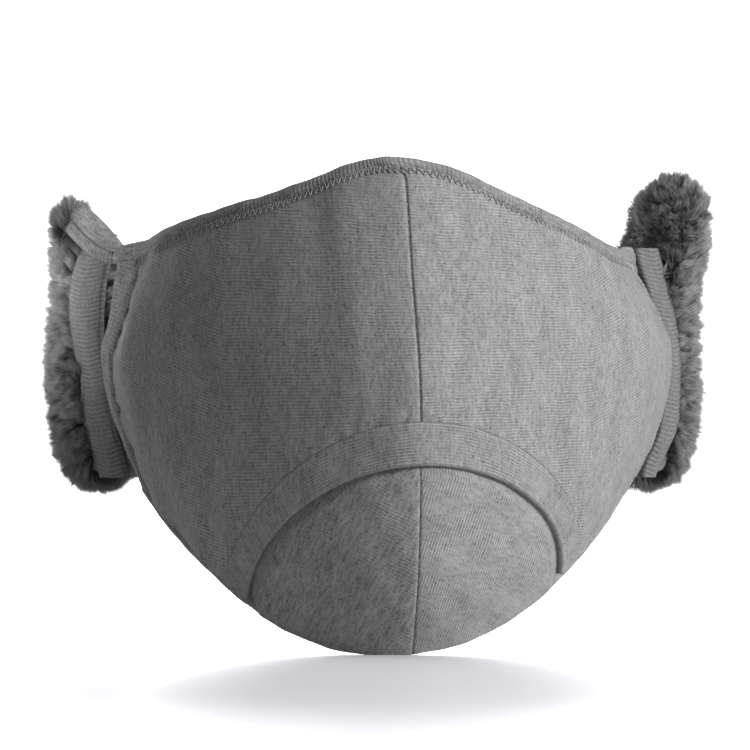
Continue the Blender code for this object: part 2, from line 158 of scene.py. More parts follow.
@dataclass(frozen=True)
class FaceForm:
    """The curved surface that the mask's front is laid on; the same rule as the frame's solids."""

    rows: tuple = (
        (-94, 0, 72, -31, 48, 2.20),
        (-110, 22, 78, -28, 60, 2.00),
        (-117, 50, 83, -25.5, 74, 1.80),
        (-117, 82, 85, -23.5, 88, 1.60),
        (-107, 114, 81, -22.5, 104, 1.40),
        (-88, 145, 74.5, -21.5, 119, 1.25),
    )
    ear_height: float = 92 * MM
    side_straight: float = 0.20
    ridge_share: float = 0.45
    ridge_round: float = 0.06
    nose_shoulder: float = 0.05
    settling: Settling = Settling()

    def row(self, v: np.ndarray) -> list[np.ndarray]:
        """Seam y and height, rear x, y and height, and sweep at v."""
        mixed = through(self.rows, v)
        return [mixed[..., k] for k in range(mixed.shape[-1])]

    def across(self, u: np.ndarray) -> np.ndarray:
        """Share of the half width reached at u."""
        return (1 - self.side_straight) * np.sin(u * math.pi / 2) + self.side_straight * u

    def rise(self, across: np.ndarray, sweep: np.ndarray, v: np.ndarray) -> np.ndarray:
        """Share of the rise from the seam to the rear edge."""
        across = np.abs(across)
        return across**sweep - self.nose_shoulder * np.sin(3 * math.pi * across) * (1 - across) * v**4

    def point(self, u: np.ndarray, v: np.ndarray) -> np.ndarray:
        """Points of the surface.

        Args:
            u: From -1 at the wearer's right rear edge over the seam to 1 at the left.
            v: From 0 at the lower edge to 1 at the upper edge.

        Returns:
            An array of points, in metres.
        """
        u, v = np.broadcast_arrays(np.asarray(u, float), np.asarray(v, float))
        seam_y, seam_z, rear_x, rear_y, rear_z, sweep = self.row(v)
        across = self.across(u)
        ridge = np.hypot(u, self.ridge_round) - self.ridge_round
        ridge = ridge / (math.hypot(1, self.ridge_round) - self.ridge_round)
        back = (1 - self.ridge_share) * (1 - np.cos(u * math.pi / 2)) + self.ridge_share * ridge
        z = seam_z + (rear_z - seam_z) * self.rise(across, sweep, v)
        points = np.stack([rear_x * across, seam_y + (rear_y - seam_y) * back, z], -1) * MM
        return points - [0, 0, self.ear_height]

    def slopes(self, u: np.ndarray, v: np.ndarray, step: float = 1e-3) -> tuple[np.ndarray, np.ndarray]:
        """Change of the point with u and with v."""
        low, high = np.maximum(v - step, 0), np.minimum(v + step, 1)
        along = (self.point(u + step, v) - self.point(u - step, v)) / (2 * step)
        upward = (self.point(u, high) - self.point(u, low)) / (high - low)[..., None]
        return along, upward

    def cloth(self, u: np.ndarray, v: np.ndarray, lift: np.ndarray) -> np.ndarray:
        """Points at a height above the surface, along its outward normal."""
        u, v, lift = (np.asarray(a, float) for a in np.broadcast_arrays(u, np.clip(v, 0, 1), lift))
        normal = unit(np.cross(*self.slopes(u, v)))
        return self.settling.apply(self.point(u, v) + normal * lift[..., None])

    def place(self, x: np.ndarray, z: np.ndarray) -> tuple[np.ndarray, np.ndarray]:
        """The (u, v) behind points of the front view; x is not negative."""
        x, z = np.broadcast_arrays(np.asarray(x, float), np.asarray(z, float))

        def height_error(v: np.ndarray) -> np.ndarray:
            _, seam_z, rear_x, _, rear_z, sweep = self.row(v)
            across = np.minimum(x / (rear_x * MM), 1)
            return (seam_z + (rear_z - seam_z) * self.rise(across, sweep, v)) * MM - self.ear_height - z

        v = halve(height_error, np.zeros_like(x), np.ones_like(x))
        return self.u_at(x, v), v

    def u_at(self, x: np.ndarray, v: np.ndarray) -> np.ndarray:
        """The u that lies at x on row v; x is not negative."""
        share = np.minimum(x / (self.row(v)[2] * MM), 1)
        return halve(lambda u: self.across(u) - share, np.zeros_like(share), np.ones_like(share))

    def above_low_edge(self, u: np.ndarray, distance: float) -> np.ndarray:
        """v at a distance above the lower edge."""
        u = np.asarray(u, float)
        return distance / np.linalg.norm(self.slopes(u, np.zeros_like(u))[1], axis=-1)

    def below_top_edge(self, u: np.ndarray, distance: float) -> np.ndarray:
        """v at a distance below the upper edge."""
        u = np.asarray(u, float)
        return 1 - distance / np.linalg.norm(self.slopes(u, np.ones_like(u))[1], axis=-1)

    def before_rear_edge(self, v: np.ndarray, distance: float) -> np.ndarray:
        """u at a distance before the rear edge."""
        v = np.asarray(v, float)
        return 1 - distance / np.linalg.norm(self.slopes(np.ones_like(v), v)[0], axis=-1)


def halve(test: Callable[[np.ndarray], np.ndarray], low: np.ndarray, high: np.ndarray) -> np.ndarray:
    """Where a rising function crosses zero, element by element."""
    for _ in range(36):
        middle = (low + high) / 2
        below = test(middle) < 0
        low, high = np.where(below, middle, low), np.where(below, high, middle)
    return (low + high) / 2


FACE = FaceForm()


@dataclass(frozen=True)
class Arch:
    """An arch in front view: half an ellipse that stands on the lower edge."""

    half_width: float
    height: float
    centre_z: float = 20 * MM - FACE.ear_height
    stand: float = 1.4 * MM

    def grown(self, amount: float) -> "Arch":
        """The same arch, wider and taller by an amount."""
        return Arch(self.half_width + amount, self.height + amount, self.centre_z, self.stand)

    def xz(self, angle: np.ndarray) -> tuple[np.ndarray, np.ndarray]:
        """Point at an angle from the centre, 90 degrees at the top."""
        return self.half_width * np.cos(angle), self.centre_z + self.height * np.sin(angle)

    def foot(self) -> float:
        """The angle where the arch meets the lower edge."""
        def above(angle: np.ndarray) -> np.ndarray:
            u, v = FACE.place(*self.xz(angle))
            return v - FACE.above_low_edge(u, self.stand)
        return float(halve(above, np.array(-0.2), np.array(0.9)))

    def along(self, s: np.ndarray) -> tuple[np.ndarray, np.ndarray]:
        """(u, v) on the arch for s from -1 (right foot) over 0 (top) to 1 (left foot)."""
        angle = math.pi / 2 + (self.foot() - math.pi / 2) * np.abs(s)
        u, v = FACE.place(*self.xz(angle))
        return np.copysign(u, s), v


OUTER_ARCH = Arch(53 * MM, 48 * MM)
INNER_ARCH = Arch(46 * MM, 35 * MM)


# ---------------------------------------------------------------- meshes from laid cloth

def graded(count: int, crowd: float = 0.85) -> np.ndarray:
    """Steps from 0 to 1 that crowd towards both ends, where edges are rolled."""
    t = np.linspace(0, 1, count)
    return (1 - crowd) * t + crowd * (0.5 - 0.5 * np.cos(math.pi * t))


@dataclass
class Ripple:
    """Soft irregular waves over a piece of cloth: a few sines with seeded directions and phases."""

    wavelength: float
    stretch: float = 1.0
    count: int = 7
    seed: int = SEED

    def at(self, x: np.ndarray, y: np.ndarray) -> np.ndarray:
        """Height of the waves, about -1 to 1; they run stretch times longer along y."""
        rng = np.random.default_rng(self.seed)
        total = np.zeros(np.broadcast(x, y).shape)
        for _ in range(self.count):
            turn = rng.uniform(0, 2 * math.pi)
            number = 2 * math.pi / (self.wavelength * rng.uniform(0.7, 1.5))
            phase = rng.uniform(0, 2 * math.pi)
            total += np.sin(number * (x * math.cos(turn) + y * math.sin(turn) / self.stretch) + phase)
        return total / self.count**0.5


@dataclass
class LaidCloth:
    """A grid of places on the face, with the distance of each place from the grid's four edges."""

    u: np.ndarray
    v: np.ndarray

    def __post_init__(self) -> None:
        """Measure the cloth along both directions of the grid."""
        base = FACE.point(self.u, self.v)
        s_steps = np.linalg.norm(np.diff(base, axis=0), axis=-1)
        t_steps = np.linalg.norm(np.diff(base, axis=1), axis=-1)
        self.base = base
        self.from_s0 = np.concatenate([np.zeros((1, base.shape[1])), np.cumsum(s_steps, 0)], 0)
        self.to_s1 = self.from_s0[-1:] - self.from_s0
        self.from_t0 = np.concatenate([np.zeros((base.shape[0], 1)), np.cumsum(t_steps, 1)], 1)
        self.to_t1 = self.from_t0[:, -1:] - self.from_t0

    @property
    def size(self) -> tuple[float, float]:
        """Longest run each way, in metres: the flat size of the piece."""
        return float(self.from_s0[-1].max()), float(self.from_t0[:, -1].max())

    def layers(self, lift: np.ndarray, thickness: float) -> tuple[np.ndarray, np.ndarray]:
        """Front and back layers of points at a lift."""
        return FACE.cloth(self.u, self.v, lift), FACE.cloth(self.u, self.v, lift - thickness)


KNIT_SCALE = 10  # units of the knit map in a metre of cloth


def grid_faces(n: int, m: int, offset: int = 0) -> np.ndarray:
    """Quads of an n by m grid of vertices."""
    i, j = np.meshgrid(np.arange(n - 1), np.arange(m - 1), indexing="ij")
    a = (i * m + j).ravel() + offset
    return np.stack([a, a + m, a + m + 1, a + 1], 1)


def mesh_object(name: str, points: np.ndarray, faces: np.ndarray) -> bpy.types.Object:
    """A smooth object at the origin from points and from faces that all have as many corners."""
    mesh = bpy.data.meshes.new(name)
    mesh.vertices.add(len(points))
    mesh.vertices.foreach_set("co", points.astype(np.float32).ravel())
    mesh.loops.add(faces.size)
    mesh.loops.foreach_set("vertex_index", faces.astype(np.int32).ravel())
    mesh.polygons.add(len(faces))
    mesh.polygons.foreach_set("loop_start", np.arange(0, faces.size, faces.shape[1], dtype=np.int32))
    mesh.update(calc_edges=True)
    mesh.shade_smooth()
    piece = bpy.data.objects.new(name, mesh)
    bpy.context.scene.collection.objects.link(piece)
    return piece


def face_outwards(mesh: bpy.types.Mesh) -> None:
    """Turn the faces of a closed mesh outwards."""
    bm = bmesh.new()
    bm.from_mesh(mesh)
    bmesh.ops.recalc_face_normals(bm, faces=bm.faces)
    bm.to_mesh(mesh)
    bm.free()


def mesh_piece(name: str, points: np.ndarray, faces: np.ndarray, knit: np.ndarray) -> bpy.types.Object:
    """A closed piece from points and quads, its normals turned outwards.

    Args:
        name: Name of the piece.
        points: Vertices, in metres.
        faces: Quads as vertex numbers.
        knit: Place of each vertex in its knit, in metres along and across the courses.

    Returns:
        The new object, at the origin.
    """
    piece = mesh_object(name, points, faces)
    layer = piece.data.uv_layers.new(name="knit")
    layer.data.foreach_set("uv", (knit[faces.ravel()] * KNIT_SCALE).astype(np.float32).ravel())
    face_outwards(piece.data)
    return piece


def double_layer(name: str, front: np.ndarray, back: np.ndarray, knit: np.ndarray) -> bpy.types.Object:
    """A closed piece of cloth from two layers of the same grid, joined round their rim."""
    n, m = front.shape[:2]
    count = n * m
    ring = np.concatenate([
        np.arange(n - 1) * m, (n - 1) * m + np.arange(m - 1),
        (n - np.arange(n - 1)) * m - 1, m - 1 - np.arange(m - 1),
    ])
    following = np.roll(ring, -1)
    rim = np.stack([ring, following, following + count, ring + count], 1)
    faces = np.concatenate([grid_faces(n, m), grid_faces(n, m, count)[:, ::-1], rim])
    points = np.concatenate([front.reshape(-1, 3), back.reshape(-1, 3)])
    flat = knit.reshape(-1, 2)
    return mesh_piece(name, points, faces, np.concatenate([flat, flat]))


def tube(name: str, centres: np.ndarray, loops: np.ndarray, knit: np.ndarray) -> bpy.types.Object:
    """A closed tube from a row of closed loops of points, capped with a fan at each end."""
    n, m = loops.shape[:2]
    points = np.concatenate([loops.reshape(-1, 3), centres[[0, -1]]])
    start, finish = n * m, n * m + 1
    i, j = np.meshgrid(np.arange(n - 1), np.arange(m), indexing="ij")
    a, b = (i * m + j).ravel(), (i * m + (j + 1) % m).ravel()
    sides = np.stack([a, a + m, b + m, b], 1)
    half = np.arange(0, m, 2)
    low = np.stack([half, (half + 1) % m, (half + 2) % m, np.full_like(half, start)], 1)
    high = low + (n - 1) * m
    high[:, 3] = finish
    flat = np.concatenate([knit.reshape(-1, 2), knit[[0, -1], 0]])
    return mesh_piece(name, points, np.concatenate([sides, low, high[:, ::-1]]), flat)


def turns(count: int) -> np.ndarray:
    """Even angles round a loop."""
    return np.linspace(0, 2 * math.pi, count, endpoint=False)


def strand(line: np.ndarray, height: np.ndarray, depth: np.ndarray, angles: np.ndarray) -> np.ndarray:
    """Oval loops of points round a line that never runs upright.

    Args:
        line: Points of the line.
        height: Half height of the loops: one number, or one for each point as (n, 1, 1).
        depth: Half depth of the loops, in the same way.
        angles: Where the points of a loop stand, 0 at its top.

    Returns:
        One loop for each point of the line.
    """
    along = unit(np.gradient(line, axis=0))
    out = unit(np.cross(along, [0.0, 0.0, 1.0]))
    up = np.cross(out, along)
    cos, sin = np.cos(angles)[:, None], np.sin(angles)[:, None]
    return line[:, None] + height * cos * up[:, None] + depth * sin * out[:, None]


# ---------------------------------------------------------------- finishes

def linear(hex_colour: str) -> tuple[float, float, float, float]:
    """A linear colour from an sRGB hex value."""
    parts = [int(hex_colour[i:i + 2], 16) / 255 for i in (0, 2, 4)]
    return tuple(c / 12.92 if c <= 0.04045 else ((c + 0.055) / 1.055) ** 2.4 for c in parts) + (1.0,)


def feed(tree: bpy.types.NodeTree, node: bpy.types.Node, links: dict) -> None:
    """Give a node's inputs, by name or number, an output socket to join or a plain value."""
    for key, value in links.items():
        if isinstance(value, bpy.types.NodeSocket):
            tree.links.new(value, node.inputs[key])
        else:
            node.inputs[key].default_value = value


def add_node(tree: bpy.types.NodeTree, kind: str, links: dict | None = None, **settings) -> bpy.types.Node:
    """Add a node with its settings and links.

    Args:
        tree: The node tree.
        kind: Blender's name of the node type, without its ShaderNode prefix.
        links: What its inputs are fed.
        settings: Properties of the node.

    Returns:
        The new node.
    """
    node = tree.nodes.new(f"ShaderNode{kind}")
    for key, value in settings.items():
        setattr(node, key, value)
    feed(tree, node, links or {})
    return node


def new_material(name: str) -> tuple[bpy.types.Material, bpy.types.NodeTree, bpy.types.Node]:
    """A new material with its tree and its Principled shader."""
    material = bpy.data.materials.new(name)
    material.use_nodes = True
    return material, material.node_tree, material.node_tree.nodes["Principled BSDF"]


def wave(tree: bpy.types.NodeTree, value: bpy.types.NodeSocket, pitch: float) -> bpy.types.NodeSocket:
    """A sine from 0 to 1 that repeats each pitch of value."""
    turn = add_node(tree, "Math", {0: value, 1: 2 * math.pi / pitch}, operation="MULTIPLY")
    sine = add_node(tree, "Math", {0: turn.outputs[0]}, operation="SINE").outputs[0]
    return add_node(tree, "MapRange", {"Value": sine, "From Min": -1.0, "From Max": 1.0}).outputs[0]


def between(tree: bpy.types.NodeTree, share: object, first: object, second: object) -> bpy.types.NodeSocket:
    """A number between two numbers, by the share of the second."""
    return add_node(tree, "Mix", {0: share, 2: first, 3: second}, data_type="FLOAT").outputs[0]


def tone_ramp(tree: bpy.types.NodeTree, value: bpy.types.NodeSocket, tones: tuple[str, str],
              ends: tuple[float, float] = (0.0, 1.0)) -> bpy.types.NodeSocket:
    """A colour that goes from the first tone to the second as value goes from end to end."""
    ramp = add_node(tree, "ValToRGB", {0: value})
    for element, tone, end in zip(ramp.color_ramp.elements, tones, ends):
        element.color = linear(tone)
        element.position = end
    return ramp.outputs[0]


@dataclass(frozen=True)
class HeatherJersey:
    """Cotton and polyester melange knit: dark and light fibres spun together, so it looks flecked.

    Rows of courses a millimetre apart with finer wales across them, matt, with a little fuzz at
    grazing angles. The knit map holds tenths of a metre along and across the courses.
    """

    name: str = "heather_jersey_weft_knit"
    light: str = "8C8C8C"
    dark: str = "484848"
    course: float = 0.92 * MM
    wale: float = 0.74 * MM
    rows: float = 0.20
    loops: float = 0.14
    flecks: float = 0.50
    specks: float = 0.22
    clouding: float = 0.15
    bump: float = 0.08 * MM

    def make(self) -> bpy.types.Material:
        """Build the material."""
        material, tree, shader = new_material(self.name)
        knit = add_node(tree, "UVMap", uv_map="knit").outputs[0]
        place = add_node(tree, "Mapping", {"Vector": knit, "Scale": (0.1, 0.1, 0.1)}).outputs[0]
        drift = add_node(tree, "TexNoise", {"Vector": place, "Scale": 120.0, "Detail": 2.0})
        drift = add_node(tree, "VectorMath", {0: drift.outputs["Color"], 1: (0.5, 0.5, 0.5)},
                         operation="SUBTRACT")
        drift = add_node(tree, "VectorMath", {0: drift.outputs[0], "Scale": 1.1 * MM}, operation="SCALE")
        bent = add_node(tree, "VectorMath", {0: place, 1: drift.outputs[0]}, operation="ADD").outputs[0]
        axes = add_node(tree, "SeparateXYZ", {0: bent})
        courses = wave(tree, axes.outputs[1], self.course)
        wales = wave(tree, axes.outputs[0], self.wale)
        loops = add_node(tree, "Math", {0: courses, 1: wales}, operation="MULTIPLY").outputs[0]
        fade = self.noise(tree, place, (1.0, 1.0, 1.0), 110.0, 3.0, 0.40, 0.60)
        shown = between(tree, fade, 0.5, courses)
        fine = self.noise(tree, bent, (0.8, 1.3, 1.0), 2300.0, 2.0, 0.30, 0.70)
        streaks = self.noise(tree, bent, (1.0, 0.30, 1.0), 1000.0, 3.0, 0.30, 0.72)
        heather = between(tree, 0.55, fine, streaks)
        cloud = self.noise(tree, place, (1.0, 0.30, 1.0), 150.0, 3.0, 0.30, 0.70)
        specks = self.noise(tree, bent, (0.7, 0.9, 1.0), 1500.0, 1.0, 0.30, 0.42)
        tone = self.weigh(tree, (shown, self.rows), (loops, self.loops), (heather, self.flecks),
                          (cloud, self.clouding), (specks, self.specks))
        colour = tone_ramp(tree, tone, (self.dark, self.light), (0.26, 0.94))
        relief = self.weigh(tree, (shown, 0.5), (loops, 0.2), (fine, 0.3))
        bump = add_node(tree, "Bump", {"Height": relief, "Distance": self.bump, "Strength": 1.0})
        rough = add_node(tree, "MapRange", {"Value": fine, "To Min": 0.86, "To Max": 1.0}).outputs[0]
        feed(tree, shader, {"Base Color": colour, "Normal": bump.outputs[0], "Roughness": rough,
                            "Specular IOR Level": 0.15, "Sheen Weight": 0.10, "Sheen Roughness": 0.5})
        return material

    @staticmethod
    def noise(tree: bpy.types.NodeTree, place: bpy.types.NodeSocket, stretch: tuple[float, float, float],
              scale: float, detail: float, low: float, high: float) -> bpy.types.NodeSocket:
        """Noise spread to 0 to 1 between a low and a high value."""
        spread = add_node(tree, "Mapping", {"Vector": place, "Scale": stretch}).outputs[0]
        value = add_node(tree, "TexNoise", {"Vector": spread, "Scale": scale, "Detail": detail})
        return add_node(tree, "MapRange", {"Value": value.outputs["Fac"], "From Min": low,
                                           "From Max": high}).outputs[0]

    @staticmethod
    def weigh(tree: bpy.types.NodeTree, *parts: tuple[bpy.types.NodeSocket, float]) -> bpy.types.NodeSocket:
        """Sum of values, each times its weight."""
        total = None
        for value, weight in parts:
            links = {0: value, 1: weight, 2: 0.0 if total is None else total}
            total = add_node(tree, "Math", links, operation="MULTIPLY_ADD").outputs[0]
        return total


@dataclass(frozen=True)
class BrushedFleece:
    """Brushed polyester fleece: short tangled fibres, so it looks soft and cloudy with no gloss."""

    name: str = "brushed_fleece"
    light: str = "868686"
    dark: str = "5C5C5C"

    def make(self) -> bpy.types.Material:
        """Build the material."""
        material, tree, shader = new_material(self.name)
        place = add_node(tree, "TexCoord").outputs["Object"]
        cloud = add_node(tree, "TexNoise", {"Vector": place, "Scale": 260.0, "Detail": 5.0, "Roughness": 0.7})
        fibre = add_node(tree, "TexNoise", {"Vector": place, "Scale": 1500.0, "Detail": 3.0,
                                            "Distortion": 1.5})
        mixed = between(tree, 0.5, cloud.outputs["Fac"], fibre.outputs["Fac"])
        bump = add_node(tree, "Bump", {"Height": mixed, "Distance": 0.5 * MM, "Strength": 1.0})
        feed(tree, shader, {"Base Color": tone_ramp(tree, mixed, (self.dark, self.light), (0.32, 0.68)),
                            "Normal": bump.outputs[0], "Roughness": 1.0, "Specular IOR Level": 0.1,
                            "Sheen Weight": 0.3})
        return material


@dataclass(frozen=True)
class PlushPile:
    """Polyester pile plush: each fibre painted darker at its root, as painted shade deep in the pile, and
    paler at its tip, as painted light on the tips.
    """

    name: str = "polyester_pile_plush"
    # Root tone is painted shade deep in the pile; tip tone is painted light on the tips.
    root: str = "4C4C4C"
    tip: str = "828282"

    def make(self) -> bpy.types.Material:
        """Build the material; the pile attribute holds height along the fibre and its shade."""
        material, tree, shader = new_material(self.name)
        pile = add_node(tree, "Attribute", attribute_name="pile")
        parts = add_node(tree, "SeparateXYZ", {0: pile.outputs["Vector"]})
        # Darker root to paler tip along each fibre: painted shade and painted light within the pile.
        colour = tone_ramp(tree, parts.outputs[0], (self.root, self.tip))
        shade = add_node(tree, "MapRange", {"Value": parts.outputs[1], "To Min": 0.72, "To Max": 1.25})
        tone = add_node(tree, "VectorMath", {0: colour, "Scale": shade.outputs[0]}, operation="SCALE")
        feed(tree, shader, {"Base Color": tone.outputs[0], "Roughness": 0.75, "Specular IOR Level": 0.25,
                            "Sheen Weight": 0.15})
        return material


@dataclass(frozen=True)
class SpunThread:
    """Spun polyester sewing thread: two plies twisted, a little smoother than the cloth."""

    name: str = "spun_polyester_thread"
    light: str = "8C8C8C"
    dark: str = "3C3C3C"

    def make(self) -> bpy.types.Material:
        """Build the material."""
        material, tree, shader = new_material(self.name)
        place = add_node(tree, "TexCoord").outputs["Object"]
        ply = add_node(tree, "TexNoise", {"Vector": place, "Scale": 2200.0, "Detail": 2.0}).outputs["Fac"]
        bump = add_node(tree, "Bump", {"Height": ply, "Distance": 0.05 * MM})
        feed(tree, shader, {"Base Color": tone_ramp(tree, ply, (self.dark, self.light), (0.35, 0.65)),
                            "Normal": bump.outputs[0], "Roughness": 0.6})
        return material


@dataclass(frozen=True)
class StudioPaper:
    """Satin white paper sweep, so the mask is faintly mirrored where it stands."""

    name: str = "studio_paper"
    colour: str = "CCCCD0"
    gloss: float = 0.33
    gloss_roughness: float = 0.20

    def make(self) -> bpy.types.Material:
        """Build the material."""
        material, tree, shader = new_material(self.name)
        place = add_node(tree, "TexCoord").outputs["Object"]
        grain = add_node(tree, "TexNoise", {"Vector": place, "Scale": 400.0, "Detail": 2.0})
        bump = add_node(tree, "Bump", {"Height": grain.outputs["Fac"], "Distance": 0.02 * MM})
        feed(tree, shader, {"Normal": bump.outputs[0], "Base Color": linear(self.colour), "Roughness": 0.9,
                            "Specular IOR Level": 0.0})
        gloss = add_node(tree, "BsdfAnisotropic", {"Color": (1, 1, 1, 1), "Roughness": self.gloss_roughness})
        mixed = add_node(tree, "MixShader", {0: self.gloss, 1: shader.outputs[0], 2: gloss.outputs[0]})
        tree.links.new(mixed.outputs[0], tree.nodes["Material Output"].inputs["Surface"])
        return material


class Wardrobe:
    """Every finish, made once."""

    def __init__(self) -> None:
        """Make the materials; every knit is the same yarn, so only its stitch and tone differ."""
        # Plain knit of the cheeks and the band: fine level rows under dark and light flecks.
        self.jersey = HeatherJersey().make()
        # Brushed half of the cup and the gussets: rows all but gone, so the flecks carry it.
        self.fine_jersey = HeatherJersey(name="heather_jersey_brushed", rows=0.05, loops=0.05,
                                         flecks=0.68).make()
        # Narrow rib of the edges: a shade darker, with soft ribs.
        rib = dict(course=1.3 * MM, wale=1.1 * MM, bump=0.10 * MM)
        self.rib = HeatherJersey(name="rib_knit_one_by_one", light="848484", dark="424242", rows=0.12,
                                 loops=0.16, flecks=0.62, **rib).make()
        # Cuff rib: the same yarn in the darkest tone, which is painted shade on the cuffs, its grooves in
        # plain sight.
        self.shaded_cuff_rib = HeatherJersey(name="rib_knit_two_by_two", light="707070", dark="3C3C3C", rows=0.24,
                                      loops=0.26, flecks=0.40, **rib).make()
        # The cup's other half, cut across the grain, so its rows stand up and catch the light.
        self.cross_jersey = HeatherJersey(name="heather_jersey_cross_grain", rows=0.32, loops=0.12,
                                          flecks=0.42, bump=0.11 * MM).make()
        # Lining: pale, cloudy and without gloss.
        self.fleece = BrushedFleece().make()
        # Pile: painted shade at the roots, between the fibres, and painted light at their tips.
        self.plush = PlushPile().make()
        # Backing: dark cloth that hides between the roots of the pile.
        self.backing = BrushedFleece(name="knitted_plush_backing", light="6A6A6A", dark="444444").make()
        # Seam thread sinks into a dark line, its dark tone painting the shade of the seam's groove; the
        # binding's thread is pale and lies on top.
        self.thread = SpunThread().make()
        self.pale_thread = SpunThread(name="spun_polyester_thread_pale", light="969696", dark="5E5E5E").make()
        self.paper = StudioPaper().make()


def clothe(piece: bpy.types.Object, finish: bpy.types.Material) -> None:
    """Give a piece its one material."""
    piece.data.materials.clear()
    piece.data.materials.append(finish)
    log.info("%s: %d faces", piece.name, len(piece.data.polygons))


def dress(piece: bpy.types.Object, material: bpy.types.Material, body: str, slot: str, *nodes: str) -> None:
    """Give a piece its material and its body, and hide the frame nodes it stands for."""
    clothe(piece, material)
    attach(piece, body)
    if nodes:
        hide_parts(*nodes)


@dataclass(frozen=True)
class Role:
    """What a piece of cloth is to the frame: its body, its material slot and the node it stands for."""

    body: str
    slot: str
    node: str


TUFT_SIZE = 5 * MM


def lay_sheet(name: str, front: np.ndarray, back: np.ndarray, knit: np.ndarray,
              finish: bpy.types.Material, role: Role) -> None:
    """Make and dress a piece of cloth.

    Args:
        name: Name of the piece.
        front: Grid of points of its outer layer.
        back: Grid of points of its inner layer.
        knit: Place of each point in its knit.
        finish: Its material.
        role: What it is to the frame.
    """
    piece = double_layer(name, front, back, knit)
    dress(piece, finish, role.body, role.slot, role.node)


def lay_lining(name: str, cloth: LaidCloth, lift: np.ndarray, depth: tuple[float, float], seed: int,
               finish: bpy.types.Material, node: str) -> None:
    """Make a fleece lining, smooth towards the jersey and tufted towards the face.

    Args:
        name: Name of the piece.
        cloth: Where it lies.
        lift: Height of its smooth side.
        depth: Its thickness and the height of its tufts.
        seed: Seed of the tufts.
        finish: Its material.
        node: The frame's node that it stands for.
    """
    tufts = Ripple(TUFT_SIZE, seed=seed).at(cloth.base[..., 0], cloth.base[..., 2])
    front = FACE.cloth(cloth.u, cloth.v, lift)
    back = FACE.cloth(cloth.u, cloth.v, lift - depth[0] - depth[1] * tufts)
    lay_sheet(name, front, back, cloth.base[..., ::2], finish, Role("mask", "lining", node))



# ---------------------------------------------------------------- the mask's front

@dataclass
class Cheeks:
    """The two jersey cheeks and their fleece linings."""

    wardrobe: Wardrobe
    top_margin: float = 2.4 * MM
    low_margin: float = 1.0 * MM
    rear_margin: float = 8.2 * MM
    seam_half: float = 0.12 * MM
    jersey: float = 1.4 * MM
    lining: float = 2.6 * MM
    corner: float = 0.625
    grid: tuple[int, int] = (172, 76)
    lining_grid: tuple[int, int] = (90, 40)
    creases: tuple = ((1, 2, 1.3), (0.8, -21, 1.6), (0.7, -32, 1.2))

    def lay(self, side: Side, columns: int, rows: int, under: float) -> LaidCloth:
        """Lay a grid over one cheek: s along the arch and the outer edges, t outwards from under the band."""
        s, t = graded(columns, 0.5)[:, None], graded(rows)[None, :]
        arch_u, arch_v = OUTER_ARCH.grown(-under).along(s[:, 0])
        top = FACE.below_top_edge(arch_u, self.top_margin)
        low = FACE.above_low_edge(arch_u, self.low_margin)
        inner_p = arch_u / FACE.before_rear_edge(arch_v, self.rear_margin)
        inner_w = (arch_v - low) / (top - low)
        outer_p = np.minimum(s / self.corner, 1)
        outer_w = 1 - np.maximum((s - self.corner) / (1 - self.corner), 0)
        p = inner_p[:, None] + (outer_p - inner_p[:, None]) * t
        w = np.maximum(inner_w[:, None] + (outer_w - inner_w[:, None]) * t, 0)
        v = w
        for _ in range(3):
            u = p * FACE.before_rear_edge(v, self.rear_margin)
            low, high = FACE.above_low_edge(u, self.low_margin), FACE.below_top_edge(u, self.top_margin)
            v = low + (high - low) * w
        u = np.maximum(u, FACE.u_at(np.full_like(v, self.seam_half), v))
        return LaidCloth(side.value * u, v)

    def jersey_lift(self, cloth: LaidCloth, side: Side) -> np.ndarray:
        """Height of the jersey: rolled at its seams, puckered beside them, softly waved between."""
        x, z = cloth.base[..., 0], cloth.base[..., 2]
        rear = FACE.before_rear_edge(cloth.v, self.rear_margin)
        from_rear = (rear - np.abs(cloth.u)) * 0.1
        lift = -roll(cloth.from_s0, 1.0 * MM, 0.6 * MM)
        lift -= roll(cloth.from_t0, 1.0 * MM, 0.6 * MM)
        lift -= roll(from_rear, 2.2 * MM, 0.9 * MM)
        crease = sum(deep * bell(z, height * MM, width * MM) for deep, height, width in self.creases)
        lift -= 1.1 * MM * crease * np.exp(-from_rear / (2.5 * MM)) * (side is Side.RIGHT)
        wander = Ripple(9 * MM, seed=SEED + side.value).at(x, z)
        pucker = np.sin(cloth.from_s0 / (1.15 * MM) + 2 * wander)
        lift += 0.18 * MM * np.exp(-cloth.from_t0 / (4 * MM)) * pucker
        lift += 0.30 * MM * np.exp(-from_rear / (5 * MM)) * np.sin(z / (1.6 * MM) + 1.5 * wander)
        folds = Ripple(24 * MM, stretch=5, seed=SEED + 3 * side.value + 9).at(np.abs(cloth.u) * HALF_GIRTH, z)
        lift += 0.22 * MM * folds * swell(cloth.from_s0, 14 * MM) * swell(cloth.from_t0, 9 * MM)
        pressed = bell(x + 0.10 * z, -17 * MM, 4.2 * MM) * swell(z + 25 * MM, 40 * MM)
        return lift + 0.28 * MM * pressed * (side is Side.RIGHT)

    def build(self) -> None:
        """Build both cheeks with their linings."""
        for side in Side:
            cloth = self.lay(side, *self.grid, 0.5 * MM)
            run = np.abs(cloth.u) * FACE.row(cloth.v)[2] * 1.55 * MM
            slope = 0.28 * np.maximum(run - 62 * MM, 0)
            knit = np.stack([run * side.value, cloth.base[..., 2] - slope], -1)
            front, back = cloth.layers(self.jersey_lift(cloth, side), self.jersey)
            lay_sheet(f"jersey_cheek_{side.word}", front, back, knit, self.wardrobe.jersey,
                      Role("mask", "jersey", f"cheek_outer_{side.word}"))
            lay_lining(f"fleece_cheek_{side.word}", self.lay(side, *self.lining_grid, 3 * MM),
                       -self.jersey - 0.5 * MM, (self.lining, 0.35 * MM), SEED + 5, self.wardrobe.fleece,
                       f"cheek_lining_{side.word}")


